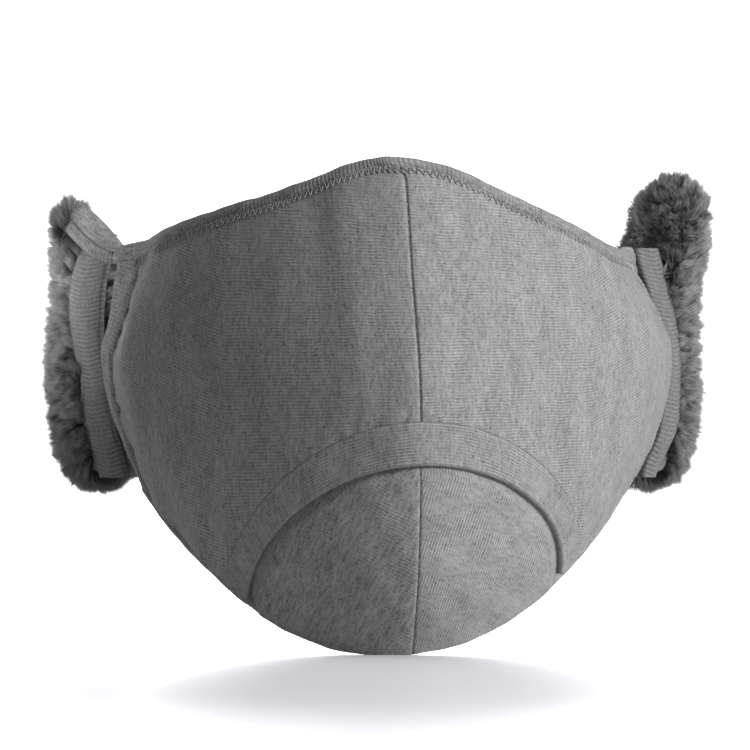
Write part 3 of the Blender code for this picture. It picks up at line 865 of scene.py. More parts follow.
@dataclass
class ArchBand:
    """The folded jersey band round the breathing opening."""

    wardrobe: Wardrobe
    thickness: float = 1.8 * MM

    def build(self) -> None:
        """Build the band, foot to foot."""
        s, t = np.linspace(-1, 1, 361)[:, None], graded(30, 0.8)[None, :]
        inner_u, inner_v = INNER_ARCH.along(s)
        outer_u, outer_v = OUTER_ARCH.grown(-0.1 * MM).along(s)
        cloth = LaidCloth(inner_u + (outer_u - inner_u) * t, inner_v + (outer_v - inner_v) * t)
        run = cloth.from_s0[:, :1] + 0 * cloth.from_t0
        wander = Ripple(12 * MM, seed=SEED + 2).at(run, cloth.from_t0)
        lift = 0.35 * MM - roll(cloth.to_t1, 1.3 * MM, 1.1 * MM) - roll(cloth.from_t0, 0.9 * MM, 1.0 * MM)
        lift -= 0.16 * MM * bell(cloth.from_t0, 1.9 * MM, 0.45 * MM) * (0.7 + 0.3 * np.sin(run / (0.38 * MM)))
        lift += 0.10 * MM * np.sin(run / (1.3 * MM) + 2 * wander) * np.exp(-cloth.to_t1 / (3 * MM))
        lift += 0.12 * MM * wander * swell(cloth.to_t1, 3 * MM) * swell(cloth.from_t0, 3 * MM)
        front, back = cloth.layers(lift, self.thickness)
        lay_sheet("jersey_arch_band", front, back, np.stack([run, cloth.from_t0], -1),
                  self.wardrobe.jersey, Role("mask", "jersey", "arch_band"))


@dataclass
class ChinCup:
    """The cup for mouth and chin, in two halves tucked up behind the arch band, and its lining."""

    wardrobe: Wardrobe
    margin: float = 4.5 * MM
    set_back: float = 1.6 * MM
    swell_height: float = 2.9 * MM
    jersey: float = 1.1 * MM
    lining: float = 1.8 * MM
    seam_half: float = 0.12 * MM
    grain: tuple[float, float] = (math.radians(72), math.radians(-28))

    def lay(self, side: Side, arch: Arch, count: int) -> LaidCloth:
        """Lay a square grid drawn out to the quarter of an arch."""
        s, t = graded(count, 0.45)[:, None], graded(count, 0.45)[None, :]
        wide, tall = s * np.sqrt(1 - t * t / 2), t * np.sqrt(1 - s * s / 2)
        x = arch.xz(np.array(arch.foot()))[0] * wide
        share = np.clip(tall / np.sqrt(np.maximum(1 - wide**2, 1e-12)), 0, 1) * (wide < 1)
        top = arch.centre_z + arch.height * np.sqrt(np.maximum(1 - (x / arch.half_width) ** 2, 0))
        u, top_v = FACE.place(x, top)
        low_v = FACE.above_low_edge(u, arch.stand)
        v = low_v + (np.maximum(top_v, low_v) - low_v) * share
        u = np.maximum(FACE.u_at(x, v), FACE.u_at(np.full_like(v, self.seam_half), v))
        return LaidCloth(side.value * u, v)

    def lift(self, u: np.ndarray, v: np.ndarray) -> np.ndarray:
        """Height of the cup: behind the band at its edge, swelling forward inside the arch."""
        point = FACE.point(u, v)
        radius = np.hypot(point[..., 0] / INNER_ARCH.half_width,
                          (point[..., 2] - INNER_ARCH.centre_z) / INNER_ARCH.height)
        return -self.set_back + self.swell_height * swell(1 - radius, 0.10)

    def build(self) -> None:
        """Build both halves of the cup and of its lining."""
        finishes = (self.wardrobe.cross_jersey, self.wardrobe.fine_jersey)
        for side, turn, finish in zip(Side, self.grain, finishes):
            cloth = self.lay(side, INNER_ARCH.grown(self.margin), 110)
            x, z = cloth.base[..., 0], cloth.base[..., 2]
            to_seam = np.abs(x)
            wander = Ripple(11 * MM, seed=SEED + 20 + side.value).at(x, z)
            lift = self.lift(cloth.u, cloth.v) - roll(to_seam, 0.9 * MM, 0.5 * MM)
            lift += 0.16 * MM * wander * swell(to_seam, 5 * MM)
            front, back = cloth.layers(lift, self.jersey)
            run = np.abs(cloth.u) * HALF_GIRTH * side.value
            cos, sin = math.cos(turn), math.sin(turn)
            knit = np.stack([run * cos + z * sin, z * cos - run * sin], -1)
            lay_sheet(f"jersey_chin_{side.word}", front, back, knit, finish,
                      Role("mask", "jersey", f"chin_cup_{side.word}"))
            inside = self.lay(side, INNER_ARCH.grown(-0.5 * MM), 48)
            lay_lining(f"fleece_chin_{side.word}", inside,
                       self.lift(inside.u, inside.v) - self.jersey - 0.6 * MM, (self.lining, 0.3 * MM),
                       SEED + 6, self.wardrobe.fleece, f"chin_lining_{side.word}")


@dataclass
class Seams:
    """The threads sunk in the two middle seams, dark so that they paint the shade of the seams' grooves."""

    wardrobe: Wardrobe
    stitch: float = 2.4 * MM
    radius: float = 0.20 * MM

    def thread(self, name: str, v: np.ndarray, lift: np.ndarray, node: str) -> None:
        """A sewn thread along the middle of the face that dips at each stitch."""
        length = run_along(FACE.point(0 * v, v))
        dip = -0.22 * MM * np.abs(np.sin(length * math.pi / self.stitch)) ** 6
        centre = FACE.cloth(0 * v, v, lift + dip)
        angles = turns(8)
        across = np.array([1.0, 0.0, 0.0])
        out = np.cross(across, unit(FACE.slopes(0 * v, v)[1]))
        loops = centre[:, None] + self.radius * (
            np.cos(angles)[:, None] * across + np.sin(angles)[:, None] * out[:, None])
        piece = tube(name, centre, loops, paired(length[:, None], angles[None] * self.radius))
        dress(piece, self.wardrobe.thread, "mask", "thread", node)

    def build(self, cup: ChinCup) -> None:
        """Build the thread down the nose and the thread down the chin."""
        seam = np.array(0.0)
        arch_top, inner_top = (float(arch.along(seam)[1]) for arch in (OUTER_ARCH, INNER_ARCH))
        v = np.linspace(arch_top, float(FACE.below_top_edge(seam, 3.0 * MM)), 240)
        self.thread("nose_seam_thread", v, np.full_like(v, -0.62 * MM), "centre_seam")
        v = np.linspace(float(FACE.above_low_edge(seam, 2.0 * MM)), inner_top, 200)
        self.thread("chin_seam_thread", v, cup.lift(0 * v, v) - 0.52 * MM, "chin_seam")


@dataclass
class Edges:
    """Top binding, lower hem and the ribbed rear hems."""

    wardrobe: Wardrobe
    rib_pitch: float = 1.3 * MM
    middle: float = -2.1 * MM
    squareness: float = 2.6
    zigzag_pitch: float = 1.9 * MM
    zigzag_radius: float = 0.15 * MM

    def bead(self, name: str, place: Callable, half: tuple[float, float], node: str,
             finish: bpy.types.Material, ribs: float) -> None:
        """A rolled edge: a closed tube just inside an edge of the face.

        Args:
            name: Name of the piece.
            place: v at a distance from the edge.
            half: Half height and half depth of the tube.
            node: The frame's node that it stands for.
            finish: Its material.
            ribs: Height of the ribs that cross it.
        """
        u, angles = np.linspace(-1, 1, 1300), turns(24)
        run = run_along(FACE.point(u, place(u, 0.0)))
        power = self.squareness
        square = 1 / (np.abs(np.cos(angles)) ** power + np.abs(np.sin(angles)) ** power) ** (1 / power)
        wander = Ripple(8 * MM, seed=SEED + 31).at(run, 0 * run)
        ribbed = ribs * np.cos(2 * math.pi * run / self.rib_pitch + 0.8 * wander)[:, None]
        grow = ribbed * (np.sin(angles) > -0.2) + 0.12 * MM * wander[:, None]
        down = (half[0] + grow) * np.cos(angles) * square
        out = (half[1] + grow) * np.sin(angles) * square
        v = place(u[:, None] + 0 * down, half[0] + down)
        loops = FACE.cloth(u[:, None] + 0 * down, v, self.middle + out)
        around = np.abs(angles - math.pi / 2) * half[1]
        piece = tube(name, loops.mean(1), loops, paired(around[None, :], run[:, None]))
        dress(piece, finish, "mask", "rib", node)

    def build(self) -> None:
        """Build the four edges and the binding's stitches."""
        self.bead("top_binding_roll", FACE.below_top_edge, (1.75 * MM, 2.9 * MM),
                  "top_binding", self.wardrobe.rib, 0.04 * MM)
        self.bead("lower_hem_roll", FACE.above_low_edge, (1.0 * MM, 2.5 * MM),
                  "lower_hem", self.wardrobe.jersey, 0.03 * MM)
        self.zigzag()
        for side in Side:
            self.rear_hem(side)

    def zigzag(self) -> None:
        """The zigzag thread that holds the binding down."""
        u, angles = np.linspace(-0.97, 0.97, 3400), turns(6)
        run = run_along(FACE.point(u, FACE.below_top_edge(u, 0.0)))
        swing = 2 / math.pi * np.arcsin(np.sin(2 * math.pi * run / self.zigzag_pitch))
        v = FACE.below_top_edge(u, 3.7 * MM + 0.75 * MM * swing)
        centre = FACE.cloth(u, v, 0.30 * MM * swell(swing + 1.0, 0.8) + 0.02 * MM)
        radius = self.zigzag_radius
        piece = tube("top_binding_zigzag", centre, strand(centre, radius, radius, angles),
                     paired(run[:, None], angles[None] * radius))
        dress(piece, self.wardrobe.pale_thread, "mask", "thread")

    def rear_hem(self, side: Side) -> None:
        """A flat strip of rib knit turned round the rear edge of a cheek."""
        s, w, one = graded(18, 0.8)[:, None], np.linspace(0, 1, 480)[None, :], np.ones(1)
        low, high = FACE.above_low_edge(one, 2.2 * MM), FACE.below_top_edge(one, 3.4 * MM)
        v = low + (high - low) * w + 0 * s
        start = FACE.before_rear_edge(v, 8.6 * MM)
        cloth = LaidCloth(side.value * (start + (1 - start) * s), v)
        ribs = np.cos(2 * math.pi * cloth.from_t0 / self.rib_pitch)
        wander = Ripple(10 * MM, seed=SEED + 40 + side.value).at(cloth.base[..., 1], cloth.base[..., 2])
        body = swell(cloth.from_s0, 1.2 * MM) * swell(cloth.to_s1, 1.0 * MM)
        turned = roll(cloth.to_s1, 2.2 * MM, 2.2 * MM)
        lift = 0.25 * MM + 0.06 * MM * ribs * body + 0.15 * MM * wander * body
        lift -= roll(cloth.from_s0, 1.2 * MM, 1.3 * MM) + turned
        front = FACE.cloth(cloth.u, cloth.v, lift)
        behind = FACE.cloth(cloth.u, cloth.v, -5.0 * MM - 0.09 * MM * ribs * body + turned)
        lay_sheet(f"rib_rear_hem_{side.word}", front, behind, np.stack([cloth.from_s0, cloth.from_t0], -1),
                  self.wardrobe.rib, Role("mask", "rib", f"rear_hem_{side.word}"))


# ---------------------------------------------------------------- the ear muffs

@dataclass(frozen=True)
class MuffForm:
    """The shape of a muff on the wearer's left; close to the rule of the frame's solids, but boxier."""

    hinge: tuple[float, float, float] = (82 * MM, -20.5 * MM, -1 * MM)
    lean: float = 0.12
    head_side: float = 73 * MM
    inner_wall: float = 4 * MM
    gap: float = 0.4 * MM
    outside: float = 96 * MM
    front: float = -6 * MM
    rear: float = 46 * MM
    half: float = 43 * MM
    front_slim: float = 0.42
    corner: float = 0.42
    boxy: float = 4.5
    fold_slope: float = 1.15

    def leaned(self, x: np.ndarray, y: np.ndarray, z: np.ndarray) -> np.ndarray:
        """Lean points back with the hinge line."""
        x, y, z = np.broadcast_arrays(x, y, z)
        return np.stack([x, y + self.lean * (z - self.hinge[2]), z], -1)

    def wall(self, s: np.ndarray, t: np.ndarray, inset: float) -> np.ndarray:
        """Outside pulled in by inset: s from the cuff to the rear, t upward, both -1 to 1."""
        a, b = np.sin(s * math.pi / 2), np.sin(t * math.pi / 2)
        rear = np.maximum(a, 0)
        depth = (self.rear - self.front) / 2
        reach = np.where(a > 0, depth - inset, depth)
        y = (self.rear + self.front) / 2 + reach * a * np.sqrt(1 - self.corner * b * b * rear)
        z = self.hinge[2] + (self.half - inset) * b * np.sqrt(1 - self.corner * rear * rear)
        along = np.where(a > 0, np.cbrt(1 - rear**3), 1 - self.front_slim * np.abs(a) ** 2.5)
        fullness = along * (1 - np.abs(b) ** self.boxy) ** (1 / self.boxy)
        rim = self.head_side + self.inner_wall + self.gap
        return self.leaned(rim + (self.outside - inset - rim) * fullness, y, z)

    def worn(self, points: np.ndarray, side: Side) -> np.ndarray:
        """The muff as it has settled: its top falls to the head on the right, and stands up on the left."""
        x, y, z = (points[..., k] for k in range(3))
        full = (x - self.head_side) / (self.outside - self.head_side)
        if side is Side.RIGHT:
            x = x - full * (2.4 * MM * bell(z, 13 * MM, 8 * MM) + 0.8 * MM * bell(z, -24 * MM, 8 * MM))
            over = np.maximum(z - (25.5 * MM + self.fold_slope * (x - 77 * MM)), 0)
            z = z - 0.92 * over + 1.5 * MM * swell(z - 20 * MM, 15 * MM) * swell(x - 86 * MM, 4 * MM)
        else:
            waist = 2.6 * MM * bell(z, 20 * MM, 14 * MM) + 1.4 * MM * bell(z, -14 * MM, 16 * MM)
            x = x + (4.5 + 3.0 * (1 - full)) * MM * swell(z - 14 * MM, 18 * MM) + full * waist
            z = z + 4.0 * MM * swell(z - 8 * MM, 28 * MM)
        return np.stack([x, y, z], -1)


MUFF = MuffForm()


def mirrored(points: np.ndarray, side: Side) -> np.ndarray:
    """Points of the wearer's left put on the given side."""
    return points * [side.value, 1, 1]


def placed(points: np.ndarray, side: Side) -> np.ndarray:
    """Points of a muff's true shape, settled and put on the given side."""
    return mirrored(MUFF.worn(points, side), side)


@dataclass
class Pile:
    """Plush pile: slim closed fibres, drawn together into pointed tufts."""

    length: float
    radius: float = 0.10 * MM
    tuft: float = 2.4 * MM
    draw: float = 0.62
    lean: float = 0.35
    rings: int = 2
    corners: int = 3

    def grow(self, name: str, roots: np.ndarray, normals: np.ndarray, sweep: np.ndarray,
             seed: int) -> bpy.types.Object:
        """Grow a fibre on each root.

        Args:
            name: Name of the piece.
            roots: Points on the backing.
            normals: Outward direction at each root.
            sweep: Direction that the pile is brushed to at each root.
            seed: Seed of the random draws.

        Returns:
            One mesh of many closed fibres.
        """
        rng = np.random.default_rng(seed)
        count = len(roots)
        length = self.length * rng.uniform(0.72, 1.12, count)
        cells = np.round(roots / self.tuft + rng.uniform(-0.22, 0.22, roots.shape)).astype(int)
        _, tuft = np.unique(cells, axis=0, return_inverse=True)
        tuft = tuft.ravel()
        sizes = np.bincount(tuft)
        centre = np.stack([np.bincount(tuft, roots[:, k]) for k in range(3)], 1) / sizes[:, None]
        tuft_turn = rng.normal(0, self.lean, (len(sizes), 3))
        tuft_length = rng.uniform(0.85, 1.12, len(sizes))
        shade = np.clip(0.5 + rng.normal(0, 0.18, len(sizes))[tuft] + rng.normal(0, 0.12, count), 0, 1)
        direction = normals + sweep + tuft_turn[tuft] + rng.normal(0, 0.10, (count, 3))
        direction = unit(direction)
        length = length * tuft_length[tuft]
        tip = roots + direction * length[:, None]
        tuft_tip = centre[tuft] + direction * length[:, None]
        tip = tip + (tuft_tip - tip) * self.draw
        middle = (roots + tip) / 2 + normals * (0.16 * length)[:, None]
        side = unit(np.cross(direction, rng.normal(0, 1, (count, 3))))
        other = np.cross(direction, side)
        levels = np.linspace(0, 1, self.rings + 1)[:-1]
        points = []
        for level in levels:
            spine = (1 - level) ** 2 * roots + 2 * level * (1 - level) * middle + level**2 * tip
            width = self.radius * (1 - 0.75 * level)
            points += [spine + width * (math.cos(turn) * side + math.sin(turn) * other)
                       for turn in turns(self.corners)]
        stack = np.stack(points + [tip], 1)
        per = stack.shape[1]
        faces = self.fibre_faces(per)[None] + (np.arange(count) * per)[:, None, None]
        piece = mesh_object(name, stack.reshape(-1, 3), faces.reshape(-1, 3))
        height = np.repeat(np.append(np.repeat(levels, self.corners), 1.0)[None], count, 0)
        values = np.stack([height, np.repeat(shade[:, None], per, 1), 0 * height], -1)
        attribute = piece.data.attributes.new("pile", "FLOAT_VECTOR", "POINT")
        attribute.data.foreach_set("vector", values.astype(np.float32).ravel())
        return piece

    def fibre_faces(self, per: int) -> np.ndarray:
        """Triangles of one closed fibre of so many points, its tip the last of them."""
        faces = []
        last = (self.rings - 1) * self.corners
        for k in range(self.corners):
            following = (k + 1) % self.corners
            for ring in range(0, last, self.corners):
                a, b = ring + k, ring + following
                faces += [(a, b, b + self.corners), (a, b + self.corners, a + self.corners)]
            faces.append((last + k, last + following, per - 1))
        return np.array(faces + [(2, 1, 0)])


def thinned(count: int) -> int:
    return count


def puff(piece: bpy.types.Object, voxel: float, cap: float, pressure: float = 4.0, frames: int = 20) -> None:
    """Fill a padded piece by cloth simulation: remeshed, blown up under pressure, capped and smoothed.

    Args:
        piece: The closed piece to fill; it gets its new mesh.
        voxel: Size of the remeshed faces.
        cap: The furthest that a point may move.
        pressure: Air pressure inside.
        frames: How many frames the simulation runs.
    """
    bpy.ops.object.select_all(action="DESELECT")
    bpy.context.view_layer.objects.active = piece
    piece.select_set(True)
    remesh = piece.modifiers.new("voxels", "REMESH")
    remesh.mode = "VOXEL"
    remesh.voxel_size = voxel
    bpy.ops.object.modifier_apply(modifier=remesh.name)
    rest = np.empty(len(piece.data.vertices) * 3)
    piece.data.vertices.foreach_get("co", rest)
    cloth = piece.modifiers.new("air", "CLOTH")
    cloth.settings.use_pressure = True
    cloth.settings.uniform_pressure_force = pressure
    cloth.settings.effector_weights.gravity = 0
    cloth.settings.quality = 5
    cloth.point_cache.frame_start, cloth.point_cache.frame_end = 1, frames
    for step in range(1, frames + 1):
        bpy.context.scene.frame_set(step)
    bpy.ops.object.modifier_apply(modifier=cloth.name)
    bpy.context.scene.frame_set(1)
    moved = np.empty_like(rest)
    piece.data.vertices.foreach_get("co", moved)
    shift = (moved - rest).reshape(-1, 3)
    length = np.maximum(np.linalg.norm(shift, axis=1, keepdims=True), 1e-9)
    shift *= np.minimum(1, cap / length)
    piece.data.vertices.foreach_set("co", (rest + shift.ravel()).astype(np.float32))
    piece.data.update()
    smooth = piece.modifiers.new("round", "SUBSURF")
    smooth.levels = smooth.render_levels = 1
    bpy.ops.object.modifier_apply(modifier=smooth.name)
    piece.data.shade_smooth()


@dataclass(frozen=True)
class CuffCut:
    """How the ribbed cuff lies: x of its inner and outer edges, from its foot to its top, in millimetres."""

    inner: tuple
    outer: tuple
    top: float
    foot: float = -41


CUFF_CUTS = {
    Side.RIGHT: CuffCut(
        inner=(77, 81, 83.3, 84.3, 83.3, 80), outer=(84, 88.3, 89.4, 92.0, 92.0, 88), top=31),
    Side.LEFT: CuffCut(
        inner=(76.5, 81.6, 83.4, 82.4, 79.2, 75.5), outer=(82, 88.8, 90.4, 90.0, 87.6, 84.5), top=27),
}


@dataclass(frozen=True)
class GussetCut:
    """A sheet across the hinge: four points of each edge, from mask to muff, in millimetres."""

    upper: tuple
    lower: tuple


GUSSET_CUTS = {
    Side.RIGHT: GussetCut(
        upper=((77.6, -21.6, 26.8), (80.5, -17.5, 31.6), (84.5, -9.0, 37.6), (90.0, 3.0, 41.5)),
        lower=((76.4, -23.0, 24.0), (82.5, -19.5, 22.6), (87.0, -14.0, 26.0), (92.0, -3.0, 33.0))),
    Side.LEFT: GussetCut(
        upper=((70.0, -22.6, 26.4), (72.6, -19.0, 28.4), (76.5, -10.0, 27.4), (81.0, 2.0, 24.0)),
        lower=((70.2, -23.0, 22.8), (73.5, -18.5, 20.5), (77.5, -9.0, 19.0), (81.0, 0.0, 18.0))),
}
LOWER_TAB = GussetCut(
    upper=((72.5, -26.0, -31.0), (75.5, -21.5, -31.0), (78.5, -17.5, -31.5), (81.0, -13.5, -33.0)),
    lower=((70.8, -26.5, -40.4), (73.5, -21.5, -41.2), (77.0, -17.0, -41.4), (80.5, -12.5, -40.6)))


@dataclass(frozen=True)
class LobeCut:
    """The turned-over top of a muff: middle, half sizes, and x, z and depth of its fold, in millimetres."""

    middle: tuple[float, float, float]
    half: tuple[float, float, float]
    fold: tuple[float, float]
    fold_depth: float


LOBE_CUTS = {
    Side.RIGHT: LobeCut(middle=(91.0, 6.0, 33.5), half=(3.6, 8.0, 5.0), fold=(88.0, 30.0), fold_depth=0.5),
    Side.LEFT: LobeCut(middle=(89.0, 2.0, 36.8), half=(8.2, 9.0, 9.0), fold=(84.6, 35.5), fold_depth=4.5),
}


@dataclass
class EarMuff:
    """One ear muff: ribbed cuff, plush wall with its pile, pocket lining, back wall and two gussets."""

    wardrobe: Wardrobe
    side: Side
    backing_inset: float = 4.0 * MM
    backing_inside: float = 7.4 * MM
    rib_pitch: float = 1.3 * MM
    cuff_back: tuple[float, float] = (1.6 * MM, 16.2 * MM)
    fibres: int = 38000
    lobe_density: float = 110
    fibres_per_piece: int = 16000
    fibres_per_inner: int = 5
    tie_run: float = 22 * MM

    @property
    def body(self) -> str:
        """The frame's body that the muff rides on."""
        return f"ear_muff_{self.side.word}"

    def cuff(self) -> None:
        """The ribbed strip along the front of the muff, bowed outwards, its ribs sagging a little."""
        s, t = graded(22, 0.75)[:, None], np.linspace(0, 1, 540)[None, :]
        cut = CUFF_CUTS[self.side]
        inner, outer = through(cut.inner, t) * MM, through(cut.outer, t) * MM
        low, high = cut.foot * MM, cut.top * MM
        z = low + (high - low) * t
        width = outer - inner + self.cuff_back[1] - self.cuff_back[0]
        near, far = s * width, (1 - s) * width
        arc = np.sin(math.pi * s)
        fall = 1.1 * MM * arc
        body = swell(near, 1.4 * MM) * swell(far, 1.4 * MM)
        rolled = roll(near, 1.2 * MM, 1.2 * MM) + roll(far, 1.2 * MM, 1.2 * MM)
        wander = Ripple(12 * MM, seed=SEED + 50 + self.side.value).at(z, s * 12 * MM)
        ribs = np.abs(np.cos(math.pi * (z + fall) / self.rib_pitch + 0.25 * wander)) ** 0.7 - 0.6
        proud = (0.10 * MM * ribs + 0.18 * MM * wander) * body + 1.2 * MM * arc - rolled
        x = inner + (outer - inner) * s
        y = MUFF.hinge[1] + self.cuff_back[0] + (self.cuff_back[1] - self.cuff_back[0]) * s**1.3
        front, behind = (mirrored(MUFF.leaned(x + 0.62 * lift, y - 0.78 * lift, z), self.side)
                         for lift in (proud, proud - 2.6 * MM + 1.8 * rolled))
        # The cuff's darker rib tone is painted shade.
        lay_sheet(f"rib_cuff_{self.side.word}", front, behind, paired(near, z + fall),
                  self.wardrobe.shaded_cuff_rib,
                  Role(self.body, "rib", f"ear_cuff_{self.side.word}"))

    def pad(self, piece: bpy.types.Object, voxel: float, cap: float, fill: float,
            *nodes: str) -> bpy.types.Object:
        """Args:
            piece: The closed piece.
            voxel: Size of the remeshed faces.
            cap: The furthest that a point may move.
            fill: How firmly it is filled, from 0 to 1; not used.
            nodes: The frame's nodes that it stands for.

        Returns:
            The same piece.
        """
        puff(piece, voxel, cap)
        dress(piece, self.wardrobe.backing, self.body, "plush", *nodes)
        return piece

    def wall(self) -> bpy.types.Object:
        """The padded outer wall of knitted plush backing."""
        s, t = np.linspace(-1, 1, 40)[:, None], np.linspace(-1, 1, 56)[None, :]
        outer, inner = (placed(MUFF.wall(s, t, inset), self.side)
                        for inset in (self.backing_inset, self.backing_inside))
        piece = double_layer(f"plush_wall_{self.side.word}", outer, inner, paired(s * 40 * MM, t * 60 * MM))
        return self.pad(piece, 1.5 * MM, 0.8 * MM, 0.6, f"ear_plush_outer_{self.side.word}")

    def back_wall(self) -> bpy.types.Object:
        """The padded back wall that lies against the head behind the ear."""
        s, t = np.linspace(-0.74, 1, 36)[:, None], np.linspace(-1, 1, 56)[None, :]
        near = MUFF.wall(s, t, 3.5 * MM)
        far = near.copy()
        near[..., 0] = MUFF.head_side + MUFF.inner_wall + 1.6 * MM
        far[..., 0] = MUFF.head_side + 0.4 * MM
        front, behind = (placed(points, self.side) for points in (near, far))
        piece = double_layer(f"plush_back_{self.side.word}", front, behind,
                             paired(s * 40 * MM, t * 60 * MM))
        return self.pad(piece, 1.2 * MM, 0.5 * MM, 0.5, f"ear_plush_inner_{self.side.word}")

    def lobe(self) -> bpy.types.Object:
        """The turned-over top of the muff: a small stuffed roll, dented by its fold."""
        bpy.ops.object.select_all(action="DESELECT")
        bpy.ops.mesh.primitive_uv_sphere_add(segments=48, ring_count=32, radius=1)
        piece = bpy.context.object
        piece.name = piece.data.name = f"plush_lobe_{self.side.word}"
        cut = LOBE_CUTS[self.side]
        co = np.empty(len(piece.data.vertices) * 3, np.float32)
        piece.data.vertices.foreach_get("co", co)
        points = co.reshape(-1, 3) * np.array(cut.half) * MM + np.array(cut.middle) * MM
        fold = np.hypot(points[:, 0] - cut.fold[0] * MM, 0.45 * (points[:, 2] - cut.fold[1] * MM))
        points[:, 1] += cut.fold_depth * MM * bell(fold, 0, 2.2 * MM) * (points[:, 1] < cut.middle[1] * MM)
        piece.data.vertices.foreach_set("co", mirrored(points, self.side).astype(np.float32).ravel())
        face_outwards(piece.data)
        return self.pad(piece, 1.2 * MM, 0.6 * MM, 0.7)

    def pocket(self) -> None:
        """The fleece lining on the inside of the outer wall."""
        s, t = np.linspace(-0.98, 0.96, 60)[:, None], np.linspace(-0.96, 0.96, 60)[None, :]
        near = MUFF.wall(s, t, self.backing_inside + 0.8 * MM)
        tufts = Ripple(TUFT_SIZE, seed=SEED + 7).at(near[..., 1], near[..., 2])
        far = MUFF.wall(s, t, self.backing_inside + 2.4 * MM)
        far[..., 0] -= 0.25 * MM * tufts
        front, behind = (placed(points, self.side) for points in (near, far))
        piece = double_layer(f"fleece_pocket_{self.side.word}", front, behind,
                             near[..., 1:])
        dress(piece, self.wardrobe.fleece, self.body, "lining", f"ear_pocket_lining_{self.side.word}")

    def roots(self, piece: bpy.types.Object, keep: Callable, count: int,
              seed: int) -> tuple[np.ndarray, np.ndarray]:
        """Random points of a piece for fibres to stand on.

        Args:
            piece: The piece that carries the pile.
            keep: Gives how thick the pile is, from each triangle's middle and facing on the wearer's left.
            count: How many points.
            seed: Seed of the draw.

        Returns:
            The points and their outward normals.
        """
        mesh = piece.data
        mesh.calc_loop_triangles()
        size = len(mesh.loop_triangles)
        corners = np.empty(size * 3, np.int32)
        mesh.loop_triangles.foreach_get("vertices", corners)
        fields = []
        for field in ("co", "normal"):
            values = np.empty(len(mesh.vertices) * 3, np.float32)
            mesh.vertices.foreach_get(field, values)
            fields.append(values.reshape(-1, 3)[corners.reshape(-1, 3)].astype(float))
        tri, nor = fields
        area = np.linalg.norm(np.cross(tri[:, 1] - tri[:, 0], tri[:, 2] - tri[:, 0]), axis=1)
        area = area * keep(mirrored(tri.mean(1), self.side), mirrored(nor.mean(1), self.side))
        rng = np.random.default_rng(seed)
        pick = rng.choice(size, count, p=area / area.sum())
        a, b = rng.uniform(0, 1, (2, count))
        a, b = np.where(a + b > 1, 1 - a, a), np.where(a + b > 1, 1 - b, b)
        share = np.stack([a, b, 1 - a - b], 1)[..., None]
        return (tri[pick] * share).sum(1), unit((nor[pick] * share).sum(1))

    def outer_pile(self, wall: bpy.types.Object) -> None:
        """The long pile on the outer wall, thickest towards the front and none under cuff and lobe."""
        middle = np.array([MUFF.head_side + 8 * MM, 20 * MM, MUFF.hinge[2]])

        def outside(centre: np.ndarray, facing: np.ndarray) -> np.ndarray:
            x, y, z = centre.T
            outward = ((centre - middle) * facing * [1.6, 1, 1]).sum(1) > 0
            covered = (y < -4 * MM) & (x < 85.5 * MM)
            if self.side is Side.RIGHT:
                covered |= (z > (17 * MM + MUFF.fold_slope * (x - 77 * MM))) & (x < 88.5 * MM)
            return outward * ~covered * (0.45 + 0.9 * swell(20 * MM - y, 20 * MM))

        roots = self.roots(wall, outside, thinned(self.fibres), SEED + self.side.value)
        self.long_pile("long_pile", *roots, 6.8 * MM)

    def lobe_pile(self, lobe: bpy.types.Object) -> None:
        """The long pile on the turned-over top."""
        size = math.prod(LOBE_CUTS[self.side].half) ** (2 / 3)
        count = thinned(int(self.lobe_density * size))
        roots = self.roots(lobe, lambda centre, facing: facing[:, 1] < 0.75, count, SEED + 5)
        self.long_pile("lobe_pile", *roots, 5.6 * MM)

    def long_pile(self, name: str, roots: np.ndarray, normals: np.ndarray, length: float) -> None:
        """Pile brushed up at the top of the muff and down at its foot, in pieces of a fair size."""
        _, y, z = roots.T
        swirl = np.stack([Ripple(16 * MM, seed=SEED + 60 + k).at(y, z) for k in range(3)], 1)
        height = (z - MUFF.hinge[2]) / MUFF.half
        brushed = np.stack([0 * height, -0.25 + 0 * height, 0.75 * height + 0.1], 1)
        sweep = 0.16 * swirl + brushed
        parts = max(1, math.ceil(len(roots) / self.fibres_per_piece))
        for part, chunk in enumerate(np.array_split(np.argsort(z), parts)):
            piece = Pile(length=length).grow(f"{name}_{self.side.word}_{part + 1}", roots[chunk],
                                             normals[chunk], sweep[chunk], SEED + part)
            dress(piece, self.wardrobe.plush, self.body, "plush")

    def inner_pile(self, back: bpy.types.Object) -> None:
        """The short pile on the back wall."""
        count = thinned(self.fibres) // self.fibres_per_inner
        roots, normals = self.roots(back, lambda centre, facing: facing[:, 0] < 0.5, count, SEED + 3)
        piece = Pile(length=2.6 * MM, tuft=1.8 * MM).grow(
            f"short_pile_{self.side.word}", roots, normals, 0 * roots, SEED + 9)
        dress(piece, self.wardrobe.plush, self.body, "plush")

    def gussets(self) -> None:
        """The folded gusset from the notch up to the top of the muff, and the tab under it."""
        cut = GUSSET_CUTS[self.side]
        self.tie_sheet("gusset", cut, 1.8 * MM, self.wardrobe.fine_jersey, f"upper_tie_{self.side.word}")
        self.fold_roll(cut)
        self.tie_sheet("lower_tab", LOWER_TAB, 2.2 * MM, self.wardrobe.rib, f"lower_tie_{self.side.word}")

    @staticmethod
    def edge(ends: tuple, s: np.ndarray) -> np.ndarray:
        """A soft curve drawn by four points in millimetres."""
        weights = np.stack([(1 - s) ** 3, 3 * s * (1 - s) ** 2, 3 * s * s * (1 - s), s**3], 1)
        return weights @ (np.array(ends) * MM)

